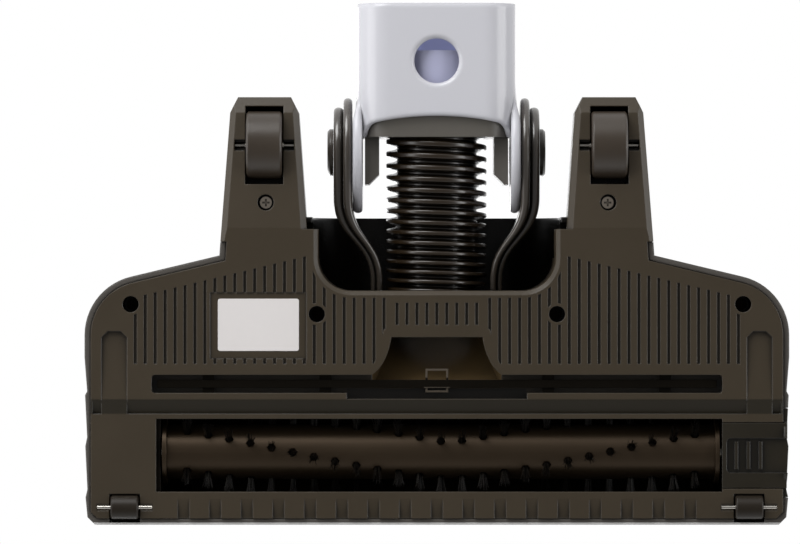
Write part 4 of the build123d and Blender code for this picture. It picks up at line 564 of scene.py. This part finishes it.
class BRUSHHEAD_OT_finishes(bpy.types.Operator):
    """Give every carried-over piece its finish"""

    bl_idname = "brushhead.finishes"
    bl_label = "Finishes"

    def execute(self, context):
        colours = context.scene.brushhead_colours
        self.zoned(colours, context.scene.brushhead_zones)
        self.plain(colours)
        self.metals(colours, context.scene.brushhead_zones)
        return {"FINISHED"}

    def zoned(self, colours, zones):
        """Sole, shell and wiper strip, which change colour at some places."""
        sole = moulded("satin sole", colours.sole, mottling=0.12, edge=0.6 * MM, hollow_shade=1.6, specular=0.4)
        # Painted shade on the sloping band behind the brush window
        sole.tint(sole.zone(ALONG, *zones.shaded_band_y, zones.shaded_band_soft), colours.cap_tone_and_band_shade)
        # Painted shade: the deep notch before the strip takes the strip's black
        notch_width = sole.zone(ACROSS, -zones.notch_x, zones.notch_x, zones.soft)
        sole.tint(sole.both(notch_width, sole.zone(ALONG, *zones.notch_y, zones.soft)), colours.strip)
        dress(sole, "sole_plate")
        shell = moulded("glossy shell", colours.shell, roughness=0.26, mottling=0.05, grain=0.03,
                        edge=1.3 * MM, specular=0.25)
        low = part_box("top_shell")[0][2]
        # Painted highlight: the lower rim of the shell takes a lighter grey
        shell.tint(shell.zone(UP, -FAR, low + zones.rim, zones.soft), colours.rim)
        # Painted highlight: the rounded front edge of the shell turns pale
        front = shell.zone(ALONG, -FAR, zones.front_highlight_y, zones.soft)
        shell.tint(shell.both(front, shell.zone(UP, -FAR, low + zones.front_highlight, zones.soft)), colours.front_highlight)
        dress(shell, "top_shell")
        wiper = moulded("wiper rubber", colours.strip, roughness=0.45, mottling=0.25, grain=0.3,
                        specular=0.08)
        loops = math_node(wiper.tree, "SUBTRACT", 1.0, wiper.zone(ALONG, *zones.clip_y, zones.soft))
        clip_width = wiper.zone(ACROSS, -zones.clip_x, zones.clip_x, zones.soft)
        wiper.tint(wiper.both(loops, clip_width), colours.clip)
        dress(wiper, "wiper_strip")

    def plain(self, colours):
        """Plastic and rubber pieces of one colour."""
        cap = moulded("satin cap", colours.cap_tone_and_band_shade, roughness=0.36, mottling=0.12, edge=0.5 * MM, hollow_shade=1.8,
                      specular=0.4)
        dress(cap, "end_cap")
        rubber = moulded("grey rubber", colours.rubber, roughness=0.36, mottling=0.2, grain=0.25,
                         edge=0.6 * MM)
        dress(rubber, "rear_wheel_left", "rear_wheel_right")
        roller = moulded("dark roller", colours.roller, mottling=0.2, grain=0.2, edge=0.6 * MM, specular=0.25)
        dress(roller, "front_roller_left", "front_roller_right")
        strip = moulded("black rubber", colours.strip, roughness=0.5, mottling=0.25, grain=0.3, specular=0.08)
        dress(strip, "motor_cushions", "drive_belt")
        pin = moulded("glossy pin", colours.yoke, roughness=0.26, mottling=0.05, grain=0.02, edge=0.8 * MM)
        dress(pin, "pivot_pin_left", "pivot_pin_right")
        roll = moulded("turned roll", colours.roll, roughness=0.42, mottling=0.2, grain=0.1, specular=0.6)
        roll.set(Specular_Tint=(*colours.roll_sheen, 1))
        dress(roll, "brush_core", "brush_flanges")
        sleeve = moulded("pale sleeve", colours.sleeve, roughness=0.25, mottling=0.03, grain=0.02)
        dress(sleeve, "suction_sleeve")
        block = moulded("shaded block", colours.shade, mottling=0.03, grain=0.02)
        dress(block, "contact_block")
        liner = moulded("dark liner", colours.liner, roughness=0.45, mottling=0.1)
        dress(liner, "neck_liner", "hose_cuff_lower", "hose_cuff_upper")
        duct = moulded("warm duct", colours.duct, hollow_shade=1.5, specular=0.2)
        dress(duct, "suction_duct")
        inner = moulded("dark inner moulding", colours.black, hollow_shade=1.5, specular=0.08)
        dress(inner, "brush_hood", "swivel_ring", "brush_pulley", "end_bearing")
        dress(moulded("green board", colours.board), "circuit_board")

    def metals(self, colours, zones):
        """Axles, motor, screws and contact pins. The screws deep in the sole take the black of the inner
        mouldings as painted shade.
        """
        steel = metal("bright steel", colours.steel, roughness=0.25)
        dress(steel, "rear_axle_left", "rear_axle_right", "front_axle_left", "front_axle_right",
              "brush_shaft", "drive_bearing", "motor", "motor_rotor")
        screws = metal("oiled steel", colours.screw, roughness=0.3)
        # Painted shade: the screws in the deep holes of the sole turn black
        screws.tint(screws.zone(ALONG, -FAR, zones.shaded_screws_y, zones.soft), colours.black)
        dress(screws, "plate_screws")
        dress(metal("brass pins", colours.brass, roughness=0.3), "contact_pins")


class BRUSHHEAD_OT_hose(bpy.types.Operator):
    """Corrugated hose as one spiral rib"""

    bl_idname = "brushhead.hose"
    bl_label = "Hose"

    def execute(self, context):
        sizes = context.scene.brushhead_hose
        black = moulded("glossy hose", context.scene.brushhead_colours.hose, roughness=0.24, mottling=0.05,
                        grain=0.02, specular=0.7)
        low, high = (np.array(corner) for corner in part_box("hose"))
        middle_z = (low[2] + high[2]) / 2
        crest = (high[0] - low[0]) / 2
        obj = piece("spiral_hose", black.material, *self.surface(sizes, low[1], high[1], crest, middle_z))
        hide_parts("hose")
        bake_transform(obj)
        return {"FINISHED"}

    def surface(self, sizes, start, end, crest, middle_z):
        """The radius swells and sinks with the cosine of (turns along the hose - share of a turn round it),
        raised by the fullness and squared off by a hyperbolic tangent, between the groove and the crest.
        An inner wall runs back under the groove and closes the tube."""
        root = crest * sizes.root_share
        rows = int(sizes.turns * sizes.per_turn) + 1
        along = np.linspace(0, 1, rows)[:, None]
        angle = np.linspace(0, 2 * np.pi, sizes.around, endpoint=False)[None, :]
        turns = sizes.turns * along * (1 + sizes.crowding * (1 - along))
        wave = np.cos(2 * np.pi * (turns - sizes.phase) - angle)
        low, high, swell = (np.tanh(sizes.squareness * (w + sizes.fullness)) for w in (-1, 1, wave))
        outer = root + (crest - root) * (swell - low) / (high - low)
        inner = np.full((sizes.inner_rows, sizes.around), root - sizes.wall)
        radius = np.concatenate([outer, inner])
        way = np.concatenate([along, np.linspace(1, 0, sizes.inner_rows)[:, None]])
        y = start + way * (end - start) + 0 * angle
        points = np.stack([radius * np.cos(angle), y, middle_z + radius * np.sin(angle)], axis=-1)
        return points, grid_faces(len(points), sizes.around, True, True)[:, ::-1].tolist()


class BRUSHHEAD_OT_neck(bpy.types.Operator):
    """Neck with a snap hole and cheeks that run out smoothly in its sides"""

    bl_idname = "brushhead.neck"
    bl_label = "Neck"

    # Steps along a side, in a corner and along the block round the snap hole
    FLAT = 24
    ARC = 12
    BLOCK = 16

    # Steps above that block, below it and round the lip
    ABOVE = 6
    BELOW = 14
    LIP = 8

    def execute(self, context):
        sizes = context.scene.brushhead_neck
        pale = moulded("pale neck", context.scene.brushhead_colours.neck, roughness=0.2, mottling=0.02,
                       grain=0.02, edge=1.6 * MM, hollow_shade=0.25)
        parts = [self.tube(sizes), self.cheek(sizes, 1), self.cheek(sizes, -1)]
        obj = piece("smooth_neck", pale.material, *joined(parts))
        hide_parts("neck_shell")
        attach(obj, "neck")
        return {"FINISHED"}

    def section(self, sizes, inset):
        """Round a rounded rectangle: a quarter circle at each corner and even steps along each side."""
        radius = sizes.corner - inset
        x, z = sizes.width / 2 - sizes.corner, sizes.depth / 2 - sizes.corner
        quarter = np.linspace(0, np.pi / 2, self.ARC + 1)
        step = np.linspace(0, 1, self.FLAT + 1)[1:-1, None]
        centres = np.array([(x, z), (-x, z), (-x, -z), (x, -z)])
        runs = []
        for k, (centre, following) in enumerate(zip(centres, np.roll(centres, -1, axis=0))):
            angle = quarter + k * np.pi / 2
            corner = centre + radius * np.stack([np.cos(angle), np.sin(angle)], axis=-1)
            runs += [corner, corner[-1] + step * (following - centre)]
        return np.concatenate(runs)

    def tube(self, sizes):
        """Rows of the outer section from the open end to the lower edge, round the lip and back along the
        inner section. The lower edge is a parabola in X that drops along a quarter circle towards each cheek.
        A square block of faces gives way to rings that close in on the snap hole."""
        outer, inner = self.section(sizes, 0), self.section(sizes, sizes.wall)
        block = self.BLOCK * (sizes.width - 2 * sizes.corner) / self.FLAT / 2
        top, bottom = sizes.hole_y + block, sizes.hole_y - block
        level = np.concatenate([np.linspace(sizes.end_y, top, self.ABOVE, endpoint=False),
                                np.linspace(top, bottom, self.BLOCK + 1)])
        reach = np.minimum(np.abs(outer[:, 0]), sizes.cheek_x[0])
        past = np.maximum(reach - sizes.cheek_x[0] + sizes.edge_radius, 0)
        drop = sizes.edge_radius - np.sqrt(sizes.edge_radius ** 2 - past ** 2)
        edge = sizes.edge_y + sizes.edge_arch * (1 - (reach / sizes.cheek_x[0]) ** 2) - drop
        below = np.linspace(0, 1, self.BELOW + 1)[1:, None]
        half = sizes.wall / 2
        y = np.concatenate([level[:, None] + 0 * edge, bottom + below * (edge + half - bottom)])
        down, up = (np.stack([ring[:, 0] + 0 * y, y, ring[:, 1] + 0 * y], axis=-1) for ring in (outer, inner))
        lip = np.linspace(0, np.pi, self.LIP + 1)[1:-1, None]
        x, z = (outer[:, k] + (1 - np.cos(lip)) / 2 * (inner - outer)[:, k] for k in (0, 1))
        turn = np.stack([x, edge + half * (1 - np.sin(lip)), z], axis=-1)
        return self.pierce(sizes, np.concatenate([down, turn, up[::-1]]) + (0, 0, sizes.axis_z))

    def pierce(self, sizes, grid):
        """Take a block of faces out of the outer and inner wall and join both edges through rings round the
        hole: one on the wall just outside the rim, the rim, and the hole at its two ends."""
        rows, columns = grid.shape[:2]
        left = 2 * (self.ARC + self.FLAT) + self.ARC + (self.FLAT - self.BLOCK) // 2
        k = np.arange(self.BLOCK)
        across = left + np.concatenate([k, np.full_like(k, self.BLOCK), self.BLOCK - k, np.zeros_like(k)])
        row = self.ABOVE + np.roll(across, self.BLOCK) - left
        start, end = row * columns + across, (rows - 1 - row) * columns + across
        points = grid.reshape(-1, 3)
        bearing = np.arctan2(points[start, 1] - sizes.hole_y, points[start, 0])
        low = points[start[0], 2]
        hole, rim = sizes.hole_radius, sizes.hole_radius + sizes.hole_rim
        outside = rim + sizes.hole_rim / 3
        levels = ((outside, low), (rim, low), (hole, low + sizes.rim_depth), (hole, low + sizes.wall))
        rings = [np.stack([r * np.cos(bearing), sizes.hole_y + r * np.sin(bearing), np.full_like(bearing, z)],
                          axis=-1) for r, z in levels]
        new = len(points) + np.arange(len(levels) * len(start)).reshape(len(levels), -1)
        strip = np.concatenate([start[None], new, end[None]])
        inside = strip.ravel()[grid_faces(*strip.shape, close_columns=True)]
        keep = np.ones((rows, columns), bool)
        for first in (self.ABOVE, rows - 1 - self.ABOVE - self.BLOCK):
            keep[first:first + self.BLOCK, left:left + self.BLOCK] = False
        wall = grid_faces(rows, columns, True, True)[keep.ravel()]
        used, faces = np.unique(np.concatenate([wall, inside]), return_inverse=True)
        return np.concatenate([points, *rings])[used], faces.reshape(-1, 4)

    def cheek(self, sizes, side):
        """A round-rimmed plate between a disc in the neck's side and one round the pivot, with a pin hole.
        Its outer face falls along a smooth step into the side."""
        length = sizes.root_y - sizes.pivot_y
        way, angle, across, reach = link_plate(length, sizes.root_radius, sizes.cheek_radius, sizes.rounding,
                                               sizes.round_share)
        y = (1 - way) * length - reach * np.cos(angle)
        z = reach * np.sin(angle)
        bearing = np.arctan2(z[:1], y[:1])
        pin_y, pin_z = sizes.pin_radius * np.cos(bearing), sizes.pin_radius * np.sin(bearing)
        y, z = np.concatenate([pin_y, y, pin_y]), np.concatenate([pin_z, z, pin_z])
        out = ease(np.clip((length - y) / (sizes.root_y - sizes.edge_y), 0, 1))
        outer = sizes.root_x + (sizes.cheek_x[1] - sizes.root_x) * out
        x = sizes.cheek_x[0] + across * (outer - sizes.cheek_x[0])
        points = np.stack([side * x, sizes.pivot_y + y, sizes.axis_z + z], axis=-1)
        faces = grid_faces(len(across), len(way), close_rows=True, close_columns=True)
        return points.reshape(-1, 3), faces[:, ::-side]


class BRUSHHEAD_OT_yoke(bpy.types.Operator):
    """Fork with round-edged layered arms"""

    bl_idname = "brushhead.yoke"
    bl_label = "Yoke"

    def execute(self, context):
        sizes = context.scene.brushhead_yoke
        black = moulded("glossy black", context.scene.brushhead_colours.yoke, roughness=0.24, mottling=0.05,
                        grain=0.02, specular=1.0)
        parts = [self.layer(sizes, k, side) for side in (1, -1) for k in (0, 1)]
        obj = piece("round_yoke", black.material, *joined([*parts, self.collar(sizes)]))
        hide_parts("yoke")
        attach(obj, "yoke")
        return {"FINISHED"}

    def layer(self, sizes, k, side):
        """A round-rimmed plate between a disc at the root and one at the pivot, closed on the line of the
        disc centres. In plan its faces follow cubic curves from root to pivot."""
        length = sizes.pivot_y - sizes.root_y
        way, angle, across, reach = link_plate(length, sizes.root_radii[k], sizes.radii[k], sizes.rounding,
                                               sizes.round_share)
        reach = np.concatenate([0 * reach[:1], reach, 0 * reach[:1]])
        y = np.maximum(sizes.root_y + way * length + reach * np.cos(angle), sizes.root_y)
        z = sizes.axis_z + reach * np.sin(angle)
        inner = self.bend(sizes, y, sizes.root_x + k * sizes.root_layer, sizes.inner_x + k * sizes.layers[0])
        thick = self.bend(sizes, y, sizes.root_layer, sizes.layers[k])
        points = np.stack([side * (inner + across * thick), y, z], axis=-1)
        faces = grid_faces(len(across), len(way), close_columns=True)
        return points.reshape(-1, 3), faces[:, ::side]

    def bend(self, sizes, y, root, end):
        """Value along an arm: a cubic curve from root to pivot side, level at both ends."""
        t = np.linspace(0, 1, sizes.bend_steps)
        first, last = sizes.bend_y
        along = (1 - t) ** 3 * first + 3 * t * (1 - t) * (first + last) / 2 + t ** 3 * last
        return np.interp(y, along, root + (end - root) * ease(t))

    def collar(self, sizes):
        """A stepped ring turned about the swivel axis."""
        front, step, rear = sizes.collar_ends
        wide, outer, bore = sizes.collar_flange, sizes.collar_radius, sizes.collar_bore
        radius = np.array([outer, outer, wide, wide, bore, bore])[:, None]
        y = np.array([rear, step, step, front, front, rear])[:, None]
        angle = np.linspace(0, 2 * np.pi, sizes.collar_around, endpoint=False)
        z = sizes.axis_z + radius * np.sin(angle)
        ring = np.stack([radius * np.cos(angle), y + 0 * angle, z], axis=-1)
        return ring.reshape(-1, 3), grid_faces(len(radius), len(angle), True, True)


class BRUSHHEAD_OT_bristles(bpy.types.Operator):
    """Bristle strands in every tuft of the roll"""

    bl_idname = "brushhead.bristles"
    bl_label = "Bristles"

    # Rings along a strand and sides round it
    RINGS = 4
    SIDES = 3

    def execute(self, context):
        sizes = context.scene.brushhead_bristles
        nylon = moulded("nylon bristle", context.scene.brushhead_colours.bristle, roughness=0.35,
                        mottling=0.3, grain=0.02, specular=0.2)
        low, high = (np.array(corner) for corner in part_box("brush_core"))
        obj = piece("bristle_strands", nylon.material, *self.strands(sizes, low, high), smooth=False)
        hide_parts("bristle_tufts")
        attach(obj, "brush")
        return {"FINISHED"}

    def places(self, sizes, low_x, high_x):
        """Place along the roll and angle of each tuft: equal steps along the roll, and an angle that grows
        with the distance from the point of the chevron, once for each row."""
        steps = int((high_x - low_x - 2 * sizes.end_margin) / sizes.pitch)
        xs = (low_x + high_x - steps * sizes.pitch) / 2 + sizes.pitch * np.arange(steps + 1)
        rows = sizes.start_angle + 2 * np.pi / sizes.rows * np.arange(sizes.rows)
        angles = rows[None, :] + (sizes.turn * np.abs(xs - sizes.point_x) / sizes.pitch)[:, None]
        return np.repeat(xs, sizes.rows), angles.ravel()

    def strands(self, sizes, low, high):
        """Each strand is a thin spike of a few rings. Its root lies in a small disc, its tip at the same
        bearing in a wider one, and the way between eases outwards with the square of the height."""
        draw = np.random.default_rng(sizes.seed)
        xs, angles = self.places(sizes, low[0], high[0])
        shape = (len(xs), sizes.strands)
        bearing = draw.uniform(0, 2 * np.pi, shape)
        spot = np.sqrt(draw.uniform(0, 1, shape))
        core = (high[2] - low[2]) / 2
        reach = sizes.reach - draw.uniform(0, sizes.trim, shape) * (sizes.reach - core)
        height = np.linspace(0, 1, self.RINGS)
        root = core - sizes.seat
        spread = sizes.root_radius + height ** 2 * (sizes.tip_radius - sizes.root_radius)
        corner = np.arange(self.SIDES) * 2 * np.pi / self.SIDES
        thick = (sizes.thickness / 2 * (1 - sizes.taper * height))[:, None]
        along = ((spot * np.cos(bearing))[..., None] * spread)[..., None] + thick * np.cos(corner)
        aside = ((spot * np.sin(bearing))[..., None] * spread)[..., None] + thick * np.sin(corner)
        out = (root + height * (reach[..., None] - root))[..., None]
        cos, sin = (f(angles)[:, None, None, None] for f in (np.cos, np.sin))
        middle = (low + high) / 2
        points = np.stack([xs[:, None, None, None] + along, middle[1] - out * sin + aside * cos,
                           middle[2] + out * cos + aside * sin], axis=-1)
        first = self.RINGS * self.SIDES * np.arange(bearing.size)
        faces = first[:, None, None] + grid_faces(self.RINGS, self.SIDES, close_columns=True)
        return points, faces.reshape(-1, 4).tolist()


class BRUSHHEAD_OT_label(bpy.types.Operator):
    """Blank label in its recess"""

    bl_idname = "brushhead.label"
    bl_label = "Label"

    def execute(self, context):
        sizes = context.scene.brushhead_label
        paper = moulded("label paper", context.scene.brushhead_colours.label, mottling=0.04, grain=0.05)
        floor_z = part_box("sole_plate")[0][2] + sizes.recess
        obj = piece("blank_label", paper.material, *self.slab(sizes, floor_z), smooth=False)
        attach(obj, "housing")
        return {"FINISHED"}

    def slab(self, sizes, floor_z):
        """A rounded rectangle: corner arcs about four centres, once on the recess floor and once below it,
        joined by a band of sides and closed by a many-sided face at each end."""
        quarter = np.linspace(0, np.pi / 2, QUARTER_POINTS)
        angle = (quarter[None, :] + np.arange(4)[:, None] * np.pi / 2).ravel()
        side_x = np.repeat([1, -1, -1, 1], QUARTER_POINTS)
        side_y = np.repeat([1, 1, -1, -1], QUARTER_POINTS)
        x = sizes.middle[0] + side_x * (sizes.length / 2 - sizes.corner) + sizes.corner * np.cos(angle)
        y = sizes.middle[1] + side_y * (sizes.width / 2 - sizes.corner) + sizes.corner * np.sin(angle)
        rings = [np.stack([x, y, np.full_like(x, z)], axis=-1) for z in (floor_z, floor_z - sizes.thickness)]
        sides = grid_faces(2, len(x), close_columns=True)[:, ::-1].tolist()
        return np.stack(rings), [*sides, list(range(len(x))), list(range(2 * len(x) - 1, len(x) - 1, -1))]


class BRUSHHEAD_OT_stage(bpy.types.Operator):
    """Pale floor, soft lamps, white surround and the camera under the sole"""

    bl_idname = "brushhead.stage"
    bl_label = "Stage"

    def execute(self, context):
        settings = context.scene.brushhead_stage
        context.scene.view_settings.view_transform = "Standard"
        self.floor(settings)
        self.world(context, settings)
        self.lamp("key", settings.key_power, settings.key_size, settings.key_place)
        fill = self.lamp("fill", settings.fill_power, settings.fill_size, settings.fill_place)
        fill.visible_glossy = False
        self.lamp("top", settings.top_power, settings.top_size, settings.top_place)
        x, y, z = settings.side_place
        self.lamp("left", settings.left_power, settings.side_size, (x, y, z))
        self.lamp("right", settings.right_power, settings.side_size, (-x, y, z))
        self.camera(context, settings)
        return {"FINISHED"}

    def floor(self, settings):
        """A pale plane that only a camera above it sees, so that the sole can be seen and lit from below. It
        fades into the white surround with the distance from the head."""
        tone = settings.floor_tone
        pale = Finish("pale floor").set(Base_Color=(tone, tone, tone, 1), Roughness=settings.floor_matt)
        tree = pale.tree
        back = tree.nodes.new("ShaderNodeNewGeometry").outputs["Backfacing"]
        camera = tree.nodes.new("ShaderNodeLightPath").outputs["Is Camera Ray"]
        seen = pale.both(camera, math_node(tree, "SUBTRACT", 1.0, back))
        away = vector_node(tree, "LENGTH", object_place(tree)).outputs["Value"]
        fade = smooth_ramp(tree, away, *settings.fade, first=1.0, last=0.0)
        mix = tree.nodes.new("ShaderNodeMixShader")
        clear = tree.nodes.new("ShaderNodeBsdfTransparent")
        feed(tree, mix.inputs["Fac"], pale.both(seen, fade))
        feed(tree, mix.inputs[1], clear.outputs[0])
        feed(tree, mix.inputs[2], pale.shader.outputs[0])
        feed(tree, tree.nodes["Material Output"].inputs["Surface"], mix.outputs[0])
        half = settings.floor_size / 2
        points = half * np.array([(-1, -1, 0), (1, -1, 0), (1, 1, 0), (-1, 1, 0)])
        obj = piece("floor", pale.material, points, [[0, 1, 2, 3]], smooth=False)

    def world(self, context, settings):
        """White where the camera sees it, softer for the light that falls on the head. What the head mirrors
        is white above and beside it and dim below."""
        world = bpy.data.worlds.new("studio")
        context.scene.world = world
        world.use_nodes = True
        tree = world.node_tree
        path = tree.nodes.new("ShaderNodeLightPath").outputs
        seen = math_node(tree, "MAXIMUM", path["Is Camera Ray"], path["Is Transmission Ray"])
        way = tree.nodes.new("ShaderNodeSeparateXYZ")
        feed(tree, way.inputs[0], tree.nodes.new("ShaderNodeTexCoord").outputs["Generated"])
        rise = smooth_ramp(tree, way.outputs["Z"], settings.mirror_low, settings.mirror_high,
                           first=settings.mirror_dim)
        mirrored = math_node(tree, "MULTIPLY", path["Is Glossy Ray"], rise)
        other = math_node(tree, "SUBTRACT", 1.0, math_node(tree, "MAXIMUM", seen, path["Is Glossy Ray"]))
        rest = math_node(tree, "MULTIPLY", other, math_node(tree, "MULTIPLY", rise, settings.ambient))
        strength = math_node(tree, "ADD", math_node(tree, "MAXIMUM", seen, mirrored), rest)
        ground = tree.nodes["Background"]
        ground.inputs["Color"].default_value = (1, 1, 1, 1)
        feed(tree, ground.inputs["Strength"], strength)

    def lamp(self, name, power, size, place):
        """A square soft lamp that faces the head."""
        data = bpy.data.lights.new(name, "AREA")
        data.energy = power
        data.size = size
        obj = placed(name, data)
        obj.location = place
        obj.rotation_euler = (-obj.location).to_track_quat("-Z", "Y").to_euler()
        return obj

    def camera(self, context, settings):
        """A long lens straight below, with the neck at the top of the picture."""
        data = bpy.data.cameras.new("camera")
        data.lens = data.sensor_width * settings.distance / settings.view_width
        obj = placed("camera", data)
        obj.location = (*settings.aim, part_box("sole_plate")[0][2] - settings.distance)
        obj.rotation_euler = (0, np.pi, 0)
        context.scene.camera = obj


class BRUSHHEAD_PT_panel(bpy.types.Panel):
    """Steps that dress the brush head"""

    bl_idname = "BRUSHHEAD_PT_panel"
    bl_label = "Brush head"
    bl_space_type = "VIEW_3D"
    bl_region_type = "UI"
    bl_category = "Brush head"

    def draw(self, context):
        for operator in OPERATORS:
            self.layout.operator(operator.bl_idname)


GROUPS = {
    "brushhead_hose": HoseSizes,
    "brushhead_neck": NeckSizes,
    "brushhead_yoke": YokeSizes,
    "brushhead_bristles": BristleSizes,
    "brushhead_label": LabelSizes,
    "brushhead_zones": ZoneSizes,
    "brushhead_colours": FinishColours,
    "brushhead_stage": StageSettings,
}
OPERATORS = (
    BRUSHHEAD_OT_finishes,
    BRUSHHEAD_OT_hose,
    BRUSHHEAD_OT_neck,
    BRUSHHEAD_OT_yoke,
    BRUSHHEAD_OT_bristles,
    BRUSHHEAD_OT_label,
    BRUSHHEAD_OT_stage,
)


def register():
    """Register the classes and their settings."""
    for cls in (*GROUPS.values(), *OPERATORS, BRUSHHEAD_PT_panel):
        bpy.utils.register_class(cls)
    for name, group in GROUPS.items():
        setattr(bpy.types.Scene, name, bpy.props.PointerProperty(type=group))


def unregister():
    """Take the classes and settings away again."""
    for name in GROUPS:
        delattr(bpy.types.Scene, name)
    for cls in (BRUSHHEAD_PT_panel, *reversed(OPERATORS), *GROUPS.values()):
        bpy.utils.unregister_class(cls)


def main():
    """Dress the head, piece by piece."""
    register()
    for operator in OPERATORS:
        group, name = operator.bl_idname.split(".")
        getattr(getattr(bpy.ops, group), name)()


if __name__ == "__main__":
    main()
